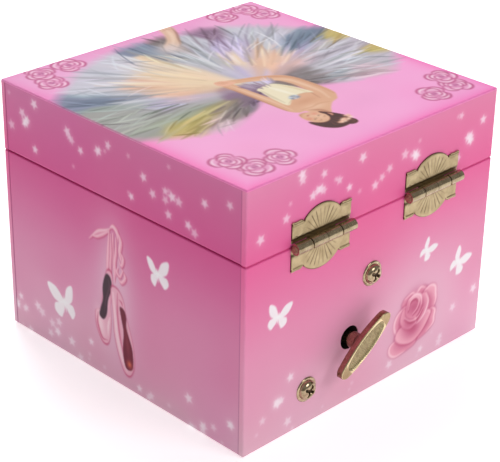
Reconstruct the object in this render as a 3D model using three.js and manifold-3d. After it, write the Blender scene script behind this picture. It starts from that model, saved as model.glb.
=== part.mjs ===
// Wind-up music box: a wrapped board box with a hinged lid, a winding key in the back wall,
// an 18-note movement behind it and a dancer that turns on the deck.
// Millimetres, +Z up. The origin is the middle of the underside. The hinges and the key are at +Y.

import * as THREE from 'three';
import { mergeVertices } from 'three/addons/utils/BufferGeometryUtils.js';
import Module from 'manifold-3d';

const wasm = await Module();
wasm.setup();

// ---------- driving dimensions ----------

// the box
const WIDTH = 108;
const DEPTH = 108;
const HEIGHT = 86.5;
const FELT = 0.6;
const WALL = 5;
const FLOOR = 3;
const BASE_TOP = 62.9;
const LID_BOTTOM = 63.5;
const LID_PANEL = 4;
const X_OUT = WIDTH / 2;
const Y_OUT = DEPTH / 2;
const X_IN = X_OUT - WALL;
const Y_IN = Y_OUT - WALL;
const FLOOR_TOP = FELT + FLOOR;
const LID_CEILING = HEIGHT - LID_PANEL;

// inside the base
const DIVIDER_FRONT = 17;
const DIVIDER = 2.5;
const DECK_BOTTOM = 47.5;
const DECK = 2.5;
const DECK_TOP = DECK_BOTTOM + DECK;
const LINING = 0.8;
const PAD = 3;

// inside the lid
const LID_LINING = 1;
const MIRROR = 1.5;
const MIRROR_WIDTH = 82;
const MIRROR_DEPTH = 82;

// hinges
const HINGE_X = 24.4;
const HINGE_Y = Y_OUT + 1.95;
const HINGE_Z = 63.2;
const LEAF_WIDTH = 24.4;
const LEAF_REACH = 7.5;
const LEAF = 0.5;
const LOBE_RADIUS = 10.3;
const BARREL_RADIUS = 1.75;
const BARREL_BORE = 0.85;
const HINGE_PIN_RADIUS = 0.7;
const KNUCKLE_GAP = 0.25;

// key and mounting screws
const KEY_X = 9.7;
const KEY_Z = 23.2;
const KEY_HOLE_RADIUS = 3.9;
const KEY_SHAFT_RADIUS = 2.3;
const KEY_LENGTH = 25;
const KEY_WIDTH = 7;
const KEY_END_WIDTH = 3.8;
const KEY_THICKNESS = 2.4;
const KEY_STAND_OFF = 5;
const KEY_BOSS_RADIUS = 2.7;
const KEY_BOSS = 3.6;
const KEY_ANGLE = 36;
const SCREW_UPPER = [0.9, 42.0];
const SCREW_LOWER = [28.2, 12.9];
const SCREW_RADIUS = 1.5;
const SCREW_WALL_HOLE = 1.8;
const SCREW_BED_HOLE = 1.6;

// movement: everything stands on the bedplate, on the inside of the back wall
const BEDPLATE = 2.2;
const BED_FACE = Y_IN - BEDPLATE;
const HOUSING_RADIUS = 11;
const HOUSING_WALL = 0.8;
const HOUSING_DEPTH = 12;
const HOUSING_END = BED_FACE - HOUSING_DEPTH;
const ARBOR_RADIUS = 2;

// gear train
const CROWN_TEETH = 40;
const CROWN_RADIUS = 12.4;
const CROWN_FACE = 2;
const CROWN_DISC = 1.2;
const CROWN_TOOTH = 1.45;
const PINION_TEETH = 10;
const PINION_RADIUS = CROWN_RADIUS * PINION_TEETH / CROWN_TEETH;
const PINION_TIP = PINION_RADIUS + 0.45;
const PINION_ROOT = PINION_RADIUS - 0.75;
const CROWN_TOP = HOUSING_END - 0.3;
const AXLE_Y = CROWN_TOP + 4;
const CYLINDER_RADIUS = 6.2;
const CYLINDER_PIN = 0.7;
const CYLINDER_START = 24.8;
const CYLINDER_END = 38.2;
const CYLINDER_ARBOR = 0.9;
const NOTES = 18;
const NOTE_PITCH = 0.72;
const GEAR_TEETH = 32;
const GOVERNOR_PINION_TEETH = 8;
const GEAR_MODULE = 0.4;
const GEAR_X = 39.9;
const GEAR_WIDTH = 1.1;
const WORM_WHEEL_TEETH = 16;
const WORM_WHEEL_RADIUS = 3.6;
const WORM_WHEEL_X = 43;
const WORM_WHEEL_WIDTH = 1.2;
const WORM_RADIUS = 1.2;
const WORM_X = WORM_WHEEL_X + WORM_WHEEL_WIDTH / 2;
const GOVERNOR_Z = KEY_Z - GEAR_MODULE * (GEAR_TEETH + GOVERNOR_PINION_TEETH) / 2;
const WORM_Z = GOVERNOR_Z - WORM_WHEEL_RADIUS - WORM_RADIUS;
const GOVERNOR_SHAFT = 0.7;
const FAN_RADIUS = 3.4;
const FAN_START = 29.5;
const FAN_LENGTH = 4;

// comb
const COMB_LEFT = 25.5;
const COMB_RIGHT = 39.5;
const COMB_THICKNESS = 2;
const COMB_FACE = AXLE_Y + COMB_THICKNESS / 2;
const COMB_SCREW_X = [28.5, 36];
const COMB_SCREW_Z = 43.2;
const FIRST_NOTE = (CYLINDER_START + CYLINDER_END - (NOTES - 1) * NOTE_PITCH) / 2;
const COMB_TIP_GAP = 0.25;
const COMB_TIP = KEY_Z + CYLINDER_RADIUS + CYLINDER_PIN + COMB_TIP_GAP;
const COMB_ROOT = 40.4;
const COMB_END = 46;

// brackets on the bedplate
const BED_LEFT = -4;
const BED_RIGHT = 46.2;
const BED_BOTTOM = 8;
const BED_TOP = 46.5;
const CYLINDER_BRACKET_INNER = [23.3, 24.4];
const CYLINDER_BRACKET_OUTER = [41.4, 42.4];
const BRACKET_FOOT_INNER = 20.9;
const BRACKET_FOOT_OUTER = 46;
const ARBOR_END = 43.2;
const GOVERNOR_FRAME = [38.6, 46.2];
const GOVERNOR_INNER_ARM = 39.5;
const GOVERNOR_OUTER_ARM = 45.2;
const GOVERNOR_BOTTOM = 8.3;
const GOVERNOR_LEDGE = 12.4;
const GOVERNOR_PLATE_TOP = 20.5;
const GOVERNOR_PLATE = 1.2;
const GOVERNOR_SCREW = [44, 19];
const SPINDLE_SCREW = [KEY_X, 42.3];
const SPINDLE_ARM = [38.2, 39.4];
const SPINDLE_FOOT_TOP = 44.6;

// figure and stop rod
const SPINDLE_RADIUS = 1.2;
const SPRING_BOTTOM = DECK_TOP + 1.6;
const SPRING_TOP = SPRING_BOTTOM + 6;
const FIGURE_BOTTOM = SPRING_TOP - 2;
const ROD_X = 46.3;
const ROD_Y = 31.5;
const ROD_RADIUS = 0.6;
const ROD_BOTTOM = 14.4;

// ---------- solids ----------

function solidOf(geometry) {
  const bare = geometry.clone();
  bare.deleteAttribute('normal');
  bare.deleteAttribute('uv');
  const merged = mergeVertices(bare, 1e-4);
  return new wasm.Manifold(new wasm.Mesh({
    numProp: 3,
    vertProperties: new Float32Array(merged.attributes.position.array),
    triVerts: new Uint32Array(merged.index.array),
  }));
}

function geometryOf(solid) {
  const mesh = solid.getMesh();
  const geometry = new THREE.BufferGeometry();
  geometry.setAttribute('position', new THREE.BufferAttribute(mesh.vertProperties, 3));
  geometry.setIndex(new THREE.BufferAttribute(mesh.triVerts, 1));
  geometry.computeVertexNormals();
  return geometry;
}

function join(first, ...others) {
  return geometryOf(others.reduce((solid, other) => solid.add(solidOf(other)), solidOf(first)));
}

function cut(body, ...tools) {
  return geometryOf(tools.reduce((solid, tool) => solid.subtract(solidOf(tool)), solidOf(body)));
}

// a block between two corners
function block(x0, x1, y0, y1, z0, z1) {
  return new THREE.BoxGeometry(x1 - x0, y1 - y0, z1 - z0)
    .translate((x0 + x1) / 2, (y0 + y1) / 2, (z0 + z1) / 2);
}

// an outline drawn in X and Z, with its thickness from y0 to y1
function plateXZ(shape, y0, y1, curveSegments = 8) {
  return new THREE.ExtrudeGeometry(shape, { depth: y1 - y0, bevelEnabled: false, curveSegments })
    .rotateX(Math.PI / 2)
    .translate(0, y1, 0);
}

// an outline drawn in Y and Z, with its thickness from x0 to x1
function plateYZ(shape, x0, x1, curveSegments = 8) {
  const turn = new THREE.Matrix4().makeBasis(
    new THREE.Vector3(0, 1, 0),
    new THREE.Vector3(0, 0, 1),
    new THREE.Vector3(1, 0, 0),
  );
  return new THREE.ExtrudeGeometry(shape, { depth: x1 - x0, bevelEnabled: false, curveSegments })
    .applyMatrix4(turn)
    .translate(x0, 0, 0);
}

// an outline drawn in X and Y, with its thickness from z0 to z1
function plateXY(shape, z0, z1, curveSegments = 8) {
  return new THREE.ExtrudeGeometry(shape, { depth: z1 - z0, bevelEnabled: false, curveSegments })
    .translate(0, 0, z0);
}

function polygon(...points) {
  return new THREE.Shape(points.map(([a, b]) => new THREE.Vector2(a, b)));
}

function rodX(radius, x0, x1, y, z, sides = 20) {
  return new THREE.CylinderGeometry(radius, radius, x1 - x0, sides)
    .rotateZ(-Math.PI / 2)
    .translate((x0 + x1) / 2, y, z);
}

function rodY(radius, y0, y1, x, z, sides = 20) {
  return new THREE.CylinderGeometry(radius, radius, y1 - y0, sides)
    .translate(x, (y0 + y1) / 2, z);
}

function rodZ(radius, z0, z1, x, y, sides = 20) {
  return new THREE.CylinderGeometry(radius, radius, z1 - z0, sides)
    .rotateX(Math.PI / 2)
    .translate(x, y, (z0 + z1) / 2);
}

// a turned piece about a line along Y through (x, z); the profile is [radius, y] pairs
function turnedY(profile, x, z, sides = 24) {
  const points = profile.map(([radius, y]) => new THREE.Vector2(radius, y));
  return new THREE.LatheGeometry(points, sides).translate(x, 0, z);
}

// a turned piece about a line along Z through (x, y); the profile is [radius, z] pairs
function turnedZ(profile, x, y, sides = 24) {
  const points = profile.map(([radius, z]) => new THREE.Vector2(radius, z));
  return new THREE.LatheGeometry(points, sides).rotateX(Math.PI / 2).translate(x, y, 0);
}

function tube(points, radius, steps, sides = 8) {
  const section = new THREE.Shape().absarc(0, 0, radius, 0, Math.PI * 2);
  const path = new THREE.CatmullRomCurve3(points.map((p) => new THREE.Vector3(...p)));
  return new THREE.ExtrudeGeometry(section, {
    extrudePath: path,
    steps,
    curveSegments: sides / 2,
  });
}

// toothed outline: straight flanks, one tooth centred on the angle phase
function toothedShape(teeth, rootRadius, tipRadius, rootWidth, tipWidth, phase) {
  const points = [];
  for (let tooth = 0; tooth < teeth; tooth += 1) {
    const centre = phase + tooth * 2 * Math.PI / teeth;
    const corners = [
      [rootRadius, -rootWidth / 2 / rootRadius],
      [tipRadius, -tipWidth / 2 / tipRadius],
      [tipRadius, tipWidth / 2 / tipRadius],
      [rootRadius, rootWidth / 2 / rootRadius],
    ];
    for (const [radius, turn] of corners) {
      points.push(new THREE.Vector2(
        radius * Math.cos(centre + turn),
        radius * Math.sin(centre + turn),
      ));
    }
  }
  return new THREE.Shape(points);
}

function withHole(shape, radius) {
  shape.holes.push(new THREE.Path().absarc(0, 0, radius, 0, Math.PI * 2, true));
  return shape;
}

// ---------- materials ----------

function material(color, roughness, metalness) {
  return new THREE.MeshStandardMaterial({ color, roughness, metalness });
}

const FINISH = {
  wrap: material(0xe07fb4, 0.3, 0),
  board: material(0xb9976c, 0.85, 0),
  felt: material(0x7d2447, 0.95, 0),
  lining: material(0xf2a9c6, 0.9, 0),
  mirror: material(0xdfe6ea, 0.03, 1),
  hinge: material(0xbfae86, 0.38, 1),
  pin: material(0xa9714c, 0.4, 1),
  key: material(0xd9c48e, 0.22, 1),
  screw: material(0xc9b98b, 0.28, 1),
  zinc: material(0xb7b5ae, 0.45, 1),
  steel: material(0x9fa2a6, 0.3, 1),
  brass: material(0xc9a24f, 0.3, 1),
  dancer: material(0xf4ddd2, 0.4, 0),
  net: material(0xf9dfe9, 0.85, 0),
};

const box = new THREE.Group();

function add(name, geometry, finish, group = box) {
  const mesh = new THREE.Mesh(geometry, finish);
  mesh.name = name;
  group.add(mesh);
  return mesh;
}

// ---------- base ----------

function addBase() {
  const backWall = cut(
    block(-X_OUT, X_OUT, Y_IN, Y_OUT, FELT, BASE_TOP),
    rodY(KEY_HOLE_RADIUS, Y_IN - 1, Y_OUT + 1, KEY_X, KEY_Z, 28),
    rodY(SCREW_WALL_HOLE, Y_IN - 1, Y_OUT + 1, ...SCREW_UPPER, 12),
    rodY(SCREW_WALL_HOLE, Y_IN - 1, Y_OUT + 1, ...SCREW_LOWER, 12),
  );
  add('base_back_wall', backWall, FINISH.wrap);
  add('base_front_wall', block(-X_OUT, X_OUT, -Y_OUT, -Y_IN, FELT, BASE_TOP), FINISH.wrap);
  add('base_left_wall', block(-X_OUT, -X_IN, -Y_IN, Y_IN, FELT, BASE_TOP), FINISH.wrap);
  add('base_right_wall', block(X_IN, X_OUT, -Y_IN, Y_IN, FELT, BASE_TOP), FINISH.wrap);
  add('base_floor_panel', block(-X_IN, X_IN, -Y_IN, Y_IN, FELT, FLOOR_TOP), FINISH.board);
  const feltInset = 1.5;
  const felt = block(
    feltInset - X_OUT, X_OUT - feltInset, feltInset - Y_OUT, Y_OUT - feltInset, 0, FELT,
  );
  add('underside_felt', felt, FINISH.felt);
}

function addCompartment() {
  const dividerBack = DIVIDER_FRONT + DIVIDER;
  const divider = block(-X_IN, X_IN, DIVIDER_FRONT, dividerBack, FLOOR_TOP, DECK_BOTTOM);
  add('compartment_divider', divider, FINISH.board);
  const deck = cut(
    block(-X_IN, X_IN, DIVIDER_FRONT, Y_IN, DECK_BOTTOM, DECK_TOP),
    rodZ(3, DECK_BOTTOM - 1, DECK_TOP + 1, KEY_X, AXLE_Y),
    rodZ(1.1, DECK_BOTTOM - 1, DECK_TOP + 1, ROD_X, ROD_Y, 12),
  );
  add('deck_panel', deck, FINISH.lining);
  const cleat = 4;
  const cleatBottom = DECK_BOTTOM - cleat;
  const leftCleat = block(-X_IN, cleat - X_IN, dividerBack, Y_IN, cleatBottom, DECK_BOTTOM);
  add('deck_cleat_left', leftCleat, FINISH.board);
  const rightCleat = block(X_IN - cleat, X_IN, ROD_Y + 1.5, BED_FACE - 0.3, cleatBottom, DECK_BOTTOM);
  add('deck_cleat_right', rightCleat, FINISH.board);

  const liningTop = BASE_TOP - 0.4;
  const front = block(-X_IN, X_IN, -Y_IN, LINING - Y_IN, FLOOR_TOP, liningTop);
  add('tray_front_lining', front, FINISH.lining);
  const sideFront = LINING - Y_IN;
  const sideBack = DIVIDER_FRONT - LINING;
  const left = block(-X_IN, LINING - X_IN, sideFront, sideBack, FLOOR_TOP, liningTop);
  add('tray_left_lining', left, FINISH.lining);
  const right = block(X_IN - LINING, X_IN, sideFront, sideBack, FLOOR_TOP, liningTop);
  add('tray_right_lining', right, FINISH.lining);
  const back = block(-X_IN, X_IN, sideBack, DIVIDER_FRONT, FLOOR_TOP, DECK_TOP);
  add('tray_divider_lining', back, FINISH.lining);
  const padGap = 0.4;
  const padX = X_IN - LINING - padGap;
  const pad = block(-padX, padX, sideFront + padGap, sideBack - padGap, FLOOR_TOP, FLOOR_TOP + PAD);
  add('tray_pad', pad, FINISH.lining);
}

// ---------- lid ----------

function addLid() {
  const rail = (x0, x1, y0, y1) => block(x0, x1, y0, y1, LID_BOTTOM, LID_CEILING);
  add('lid_top_panel', block(-X_OUT, X_OUT, -Y_OUT, Y_OUT, LID_CEILING, HEIGHT), FINISH.wrap);
  add('lid_front_rail', rail(-X_OUT, X_OUT, -Y_OUT, -Y_IN), FINISH.wrap);
  add('lid_back_rail', rail(-X_OUT, X_OUT, Y_IN, Y_OUT), FINISH.wrap);
  add('lid_left_rail', rail(-X_OUT, -X_IN, -Y_IN, Y_IN), FINISH.wrap);
  add('lid_right_rail', rail(X_IN, X_OUT, -Y_IN, Y_IN), FINISH.wrap);
  const liningBottom = LID_CEILING - LID_LINING;
  const lining = block(-X_IN, X_IN, -Y_IN, Y_IN, liningBottom, LID_CEILING);
  add('lid_lining', lining, FINISH.lining);
  const mirror = block(
    -MIRROR_WIDTH / 2, MIRROR_WIDTH / 2, -MIRROR_DEPTH / 2, MIRROR_DEPTH / 2,
    liningBottom - MIRROR, liningBottom,
  );
  add('lid_mirror', mirror, FINISH.mirror);
  const blockTop = LID_BOTTOM + 8;
  const pushBlock = block(X_IN - 5, X_IN, ROD_Y - 3, ROD_Y + 3, LID_BOTTOM, blockTop);
  add('lid_push_block', pushBlock, FINISH.board);
}

// ---------- hinges ----------

// half of the leaf outline, above the barrel: a rectangle with a shell-shaped lobe
function leafShape() {
  const half = LEAF_WIDTH / 2;
  const low = BARREL_RADIUS * 0.7;
  const meet = Math.sqrt(LOBE_RADIUS ** 2 - LEAF_REACH ** 2);
  const startAngle = Math.atan2(LEAF_REACH, meet);
  const notch = 0.45;
  const shape = new THREE.Shape();
  shape.moveTo(-half, low);
  shape.lineTo(half, low);
  shape.lineTo(half, LEAF_REACH);
  shape.lineTo(meet + 2 * notch, LEAF_REACH);
  shape.lineTo(meet + notch, LEAF_REACH - 1.6 * notch);
  shape.lineTo(meet, LEAF_REACH);
  shape.absarc(0, 0, LOBE_RADIUS, startAngle, Math.PI - startAngle);
  shape.lineTo(-meet - notch, LEAF_REACH - 1.6 * notch);
  shape.lineTo(-meet - 2 * notch, LEAF_REACH);
  shape.lineTo(-half, LEAF_REACH);
  return shape;
}

// one leaf with its knuckles, drawn above the barrel with the barrel's middle at the origin
function leafGeometry(knuckles) {
  const faceY = Y_OUT - HINGE_Y;
  let leaf = plateXZ(leafShape(), faceY, faceY + LEAF, 7);
  for (const [x0, x1] of knuckles) {
    const web = block(x0, x1, faceY, faceY + LEAF, -0.2, BARREL_RADIUS);
    const curl = block(x0, x1, faceY, -BARREL_BORE, -0.2, BARREL_RADIUS * 0.7);
    leaf = join(leaf, rodX(BARREL_RADIUS, x0, x1, 0, 0, 16), web, curl);
  }
  return cut(leaf, rodX(BARREL_BORE, -LEAF_WIDTH, LEAF_WIDTH, 0, 0, 12));
}

function addHinge(side, x) {
  const half = LEAF_WIDTH / 2;
  const split = half / 2;
  const gap = KNUCKLE_GAP / 2;
  const hinge = new THREE.Group();
  hinge.position.set(x, HINGE_Y, HINGE_Z);
  box.add(hinge);
  const outer = [[-half, -split - gap], [split + gap, half]];
  add(`hinge_${side}_base_leaf`, leafGeometry(outer).rotateY(Math.PI), FINISH.hinge, hinge);
  const middle = [[-split + gap, split - gap]];
  add(`hinge_${side}_lid_leaf`, leafGeometry(middle), FINISH.hinge, hinge);
  const pinHalf = half + 0.5;
  const pin = rodX(HINGE_PIN_RADIUS, -pinHalf, pinHalf, 0, 0, 12);
  add(`hinge_${side}_pin`, pin, FINISH.pin, hinge);
}

// ---------- key and mounting screws ----------

function boatShape(length, width, endWidth) {
  const half = length / 2;
  const shoulder = half - endWidth * 0.45;
  const bulge = width - endWidth / 2;
  const shape = new THREE.Shape();
  shape.moveTo(-shoulder, -endWidth / 2);
  shape.quadraticCurveTo(0, -bulge, shoulder, -endWidth / 2);
  shape.bezierCurveTo(half, -endWidth / 2, half, endWidth / 2, shoulder, endWidth / 2);
  shape.quadraticCurveTo(0, bulge, -shoulder, endWidth / 2);
  shape.bezierCurveTo(-half, endWidth / 2, -half, -endWidth / 2, -shoulder, -endWidth / 2);
  return shape;
}

function addKey() {
  const inner = Y_OUT + KEY_STAND_OFF;
  const outer = inner + KEY_THICKNESS;
  const soften = 0.4;
  const body = new THREE.ExtrudeGeometry(
    boatShape(KEY_LENGTH - 2 * soften, KEY_WIDTH - 2 * soften, KEY_END_WIDTH - 2 * soften),
    {
      depth: KEY_THICKNESS - 2 * soften,
      bevelEnabled: true,
      bevelThickness: soften,
      bevelSize: soften,
      bevelSegments: 2,
      curveSegments: 6,
    },
  ).rotateX(Math.PI / 2).translate(0, outer - soften, 0);
  const rim = 0.9;
  const land = 3.2;
  const panelShape = boatShape(KEY_LENGTH - 2 * land, KEY_WIDTH - 2 * rim, KEY_END_WIDTH - 2 * rim);
  const panelDepth = 0.4;
  const panel = plateXZ(panelShape, outer - panelDepth, outer + 1, 5);
  const bossEnd = inner - KEY_BOSS;
  const boss = rodY(KEY_BOSS_RADIUS, bossEnd, inner + 0.8, 0, 0, 18);
  const handle = add('key_handle', cut(join(body, boss), panel), FINISH.key);
  handle.position.set(KEY_X, 0, KEY_Z);
  handle.rotation.y = KEY_ANGLE * Math.PI / 180;
  const shaft = rodY(KEY_SHAFT_RADIUS, BED_FACE, bossEnd - 0.05, KEY_X, KEY_Z, 20);
  add('key_shaft', shaft, FINISH.key);
}

function addMountingScrew(name, [x, z]) {
  const flange = 0.7;
  const profile = [
    [0, BED_FACE - 2.6],
    [1.1, BED_FACE - 2.6],
    [SCREW_RADIUS, BED_FACE - 2.1],
    [SCREW_RADIUS, Y_OUT],
    [4.0, Y_OUT],
    [4.1, Y_OUT + 0.25],
    [3.8, Y_OUT + flange],
    [3.0, Y_OUT + flange],
    [2.8, Y_OUT + 1.5],
    [2.1, Y_OUT + 2.2],
    [1.1, Y_OUT + 2.55],
    [0, Y_OUT + 2.6],
  ];
  const arm = block(-1.5, 1.5, Y_OUT + 0.9, Y_OUT + 3, -0.32, 0.32);
  const cross = join(arm, arm.clone().rotateY(Math.PI / 2)).rotateY(0.5).translate(x, 0, z);
  add(name, cut(turnedY(profile, x, z, 18), cross), FINISH.screw);
}

// ---------- movement ----------

function addBedplate() {
  const recess = [16, 24];
  const recessBottom = 38;
  const outline = polygon(
    [BED_LEFT, BED_BOTTOM], [BED_RIGHT, BED_BOTTOM], [BED_RIGHT, BED_TOP], [recess[1], BED_TOP],
    [recess[1], recessBottom], [recess[0], recessBottom], [recess[0], BED_TOP - 1.5],
    [5, BED_TOP], [BED_LEFT + 2, BED_TOP], [BED_LEFT, BED_TOP - 2],
  );
  const bossFace = BED_FACE - 3;
  const bossRadius = 3.2;
  const threadRadius = 0.85;
  const threadEnd = Y_IN - 0.4;
  const ledge = block(
    COMB_LEFT, COMB_RIGHT, COMB_FACE, BED_FACE + 0.5, COMB_ROOT + 0.6, COMB_END,
  );
  const raised = join(
    plateXZ(outline, BED_FACE, Y_IN),
    rodY(bossRadius, bossFace, BED_FACE + 0.5, ...SCREW_UPPER, 14),
    rodY(bossRadius, bossFace, BED_FACE + 0.5, ...SCREW_LOWER, 14),
    ledge,
  );
  const holes = [
    rodY(3, BED_FACE - 1, Y_IN + 1, KEY_X, KEY_Z, 20),
    rodY(SCREW_BED_HOLE, bossFace - 1, Y_IN + 1, ...SCREW_UPPER, 12),
    rodY(SCREW_BED_HOLE, bossFace - 1, Y_IN + 1, ...SCREW_LOWER, 12),
    ...COMB_SCREW_X.map((x) => rodY(1.05, COMB_FACE - 1, COMB_FACE + 5, x, COMB_SCREW_Z, 10)),
    rodY(threadRadius, BED_FACE - 1, threadEnd, ...GOVERNOR_SCREW, 12),
    rodY(threadRadius, BED_FACE - 1, threadEnd, ...SPINDLE_SCREW, 12),
  ];
  add('movement_bedplate', cut(raised, ...holes), FINISH.zinc);
}

function addSpringBarrel() {
  const inner = HOUSING_RADIUS - HOUSING_WALL;
  const profile = [
    [2.6, HOUSING_END],
    [HOUSING_RADIUS - 0.5, HOUSING_END],
    [HOUSING_RADIUS, HOUSING_END + 0.5],
    [HOUSING_RADIUS, BED_FACE],
    [inner, BED_FACE],
    [inner, HOUSING_END + 1],
    [2.6, HOUSING_END + 1],
    [2.6, HOUSING_END],
  ];
  add('spring_housing', turnedY(profile, KEY_X, KEY_Z, 28), FINISH.zinc);

  const strip = 0.4;
  const turns = 5;
  const first = ARBOR_RADIUS + 0.3;
  const last = inner - strip - 0.4;
  const steps = turns * 14;
  const side = (offset) => Array.from({ length: steps + 1 }, (_, i) => {
    const angle = i / steps * turns * 2 * Math.PI;
    const radius = first + (last - first) * i / steps + offset;
    return new THREE.Vector2(radius * Math.cos(angle), radius * Math.sin(angle));
  });
  const outline = new THREE.Shape([...side(strip), ...side(0).reverse()]);
  const spring = plateXZ(outline, HOUSING_END + 1.6, BED_FACE - 0.8)
    .translate(KEY_X, 0, KEY_Z);
  add('mainspring', spring, FINISH.steel);
}

function addWindingArbor() {
  const groove = 0.5;
  const clipY = CROWN_TOP - CROWN_DISC - 3.2;
  const profile = [
    [0, clipY - 1.2],
    [ARBOR_RADIUS - 0.3, clipY - 1.2],
    [ARBOR_RADIUS, clipY - 0.9],
    [ARBOR_RADIUS, clipY],
    [ARBOR_RADIUS - groove, clipY],
    [ARBOR_RADIUS - groove, clipY + 0.6],
    [ARBOR_RADIUS, clipY + 0.6],
    [ARBOR_RADIUS, BED_FACE - 0.05],
    [0, BED_FACE - 0.05],
  ];
  add('winding_arbor', turnedY(profile, KEY_X, KEY_Z, 20), FINISH.steel);
  const clip = [
    [ARBOR_RADIUS - groove + 0.05, clipY + 0.05],
    [ARBOR_RADIUS + 1.2, clipY + 0.05],
    [ARBOR_RADIUS + 1.2, clipY + 0.55],
    [ARBOR_RADIUS - groove + 0.05, clipY + 0.55],
    [ARBOR_RADIUS - groove + 0.05, clipY + 0.05],
  ];
  add('arbor_clip', turnedY(clip, KEY_X, KEY_Z, 20), FINISH.steel);
}

function addCrownWheel() {
  const boreRadius = ARBOR_RADIUS + 0.15;
  const discBottom = CROWN_TOP - CROWN_DISC;
  const rimRadius = CROWN_RADIUS + CROWN_FACE / 2;
  const ring = withHole(new THREE.Shape().absarc(0, 0, rimRadius, 0, Math.PI * 2), boreRadius);
  let wheel = solidOf(plateXZ(ring, discBottom, CROWN_TOP, 14));
  const baseWidth = 0.85;
  const tipWidth = 0.4;
  const sunk = 0.2;
  const tooth = plateYZ(
    polygon(
      [CROWN_TOP - sunk, -baseWidth / 2], [CROWN_TOP, -baseWidth / 2],
      [CROWN_TOP + CROWN_TOOTH, -tipWidth / 2], [CROWN_TOP + CROWN_TOOTH, tipWidth / 2],
      [CROWN_TOP, baseWidth / 2], [CROWN_TOP - sunk, baseWidth / 2],
    ),
    CROWN_RADIUS - CROWN_FACE / 2,
    CROWN_RADIUS + CROWN_FACE / 2 - 0.15,
  );
  for (let i = 0; i < CROWN_TEETH; i += 1) {
    const turn = (i + 0.5) * 2 * Math.PI / CROWN_TEETH;
    wheel = wheel.add(solidOf(tooth.clone().rotateY(turn)));
  }
  for (let i = 0; i < 5; i += 1) {
    const angle = i * 2 * Math.PI / 5;
    const hole = rodY(
      2, discBottom - 1, CROWN_TOP + 1, 7 * Math.cos(angle), 7 * Math.sin(angle), 12,
    );
    wheel = wheel.subtract(solidOf(hole));
  }
  add('crown_wheel', geometryOf(wheel).translate(KEY_X, 0, KEY_Z), FINISH.brass);

  const coil = [];
  const inner = ARBOR_RADIUS + 0.2;
  const wire = 0.8;
  const coilBottom = discBottom - 3 * wire - 0.1;
  coil.push([inner, coilBottom]);
  for (let i = 0; i < 3; i += 1) {
    const low = coilBottom + i * wire;
    coil.push([inner + wire * 0.6, low + 0.02], [inner + wire, low + wire / 2]);
    coil.push([inner + wire * 0.6, low + wire - 0.02]);
  }
  coil.push([inner, discBottom - 0.1], [inner, coilBottom]);
  add('clutch_spring', turnedY(coil, KEY_X, KEY_Z, 16), FINISH.steel);
}

function pinionAlongX(x0, x1, y, z) {
  const shape = toothedShape(PINION_TEETH, PINION_ROOT, PINION_TIP, 0.95, 0.4, Math.PI);
  return plateYZ(shape, x0, x1).translate(0, y, z);
}

function addCylinder() {
  const pinionStart = KEY_X + CROWN_RADIUS - CROWN_FACE / 2;
  const pinionEnd = pinionStart + CROWN_FACE;
  const arbor = join(
    rodX(CYLINDER_ARBOR, pinionStart + 0.1, ARBOR_END, AXLE_Y, KEY_Z, 16),
    pinionAlongX(pinionStart, pinionEnd - 0.1, AXLE_Y, KEY_Z),
  );
  add('cylinder_arbor', arbor, FINISH.brass);

  const bore = CYLINDER_ARBOR + 0.05;
  const shell = CYLINDER_RADIUS - 0.6;
  const profile = [
    [bore, CYLINDER_START],
    [CYLINDER_RADIUS, CYLINDER_START],
    [CYLINDER_RADIUS, CYLINDER_END],
    [shell, CYLINDER_END],
    [shell, CYLINDER_START + 1],
    [bore, CYLINDER_START + 1],
    [bore, CYLINDER_START],
  ];
  const points = profile.map(([radius, x]) => new THREE.Vector2(radius, x));
  let drum = solidOf(new THREE.LatheGeometry(points, 24).rotateZ(-Math.PI / 2));
  const pinsPerNote = 3;
  const golden = Math.PI * (3 - Math.sqrt(5));
  for (let note = 0; note < NOTES; note += 1) {
    for (let k = 0; k < pinsPerNote; k += 1) {
      const angle = (note * pinsPerNote + k) * golden;
      const pin = new THREE.CylinderGeometry(0.16, 0.2, CYLINDER_PIN + 0.4, 4)
        .translate(0, CYLINDER_RADIUS + (CYLINDER_PIN - 0.4) / 2, 0)
        .rotateX(angle)
        .translate(FIRST_NOTE + note * NOTE_PITCH, 0, 0);
      drum = drum.add(solidOf(pin));
    }
  }
  const cylinder = geometryOf(drum).translate(0, AXLE_Y, KEY_Z);
  add('pinned_cylinder', cylinder, FINISH.brass);

  const gearRadius = GEAR_MODULE * GEAR_TEETH / 2;
  const gearShape = toothedShape(
    GEAR_TEETH, gearRadius - 0.5, gearRadius + 0.3, 0.6, 0.28, -Math.PI / 2,
  );
  const gear = plateYZ(withHole(gearShape, bore), GEAR_X, GEAR_X + GEAR_WIDTH, 6)
    .translate(0, AXLE_Y, KEY_Z);
  add('cylinder_gear', gear, FINISH.brass);
}

function addBearingBrackets() {
  const half = 2.4;
  const holeRadius = CYLINDER_ARBOR + 0.1;
  const bracket = (x0, x1, footX0, footX1) => {
    const low = KEY_Z - half;
    const high = KEY_Z + half;
    const upright = block(x0, x1, AXLE_Y - 1.6, BED_FACE, low, high);
    const foot = block(footX0, footX1, BED_FACE - 1, BED_FACE, low, high);
    return cut(join(upright, foot), rodX(holeRadius, x0 - 1, x1 + 1, AXLE_Y, KEY_Z, 16));
  };
  const [innerX0, innerX1] = CYLINDER_BRACKET_INNER;
  const inner = bracket(innerX0, innerX1, BRACKET_FOOT_INNER, innerX1);
  add('cylinder_bracket_inner', inner, FINISH.zinc);
  const [outerX0, outerX1] = CYLINDER_BRACKET_OUTER;
  const outer = bracket(outerX0, outerX1, outerX0, BRACKET_FOOT_OUTER);
  add('cylinder_bracket_outer', outer, FINISH.zinc);
}

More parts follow.
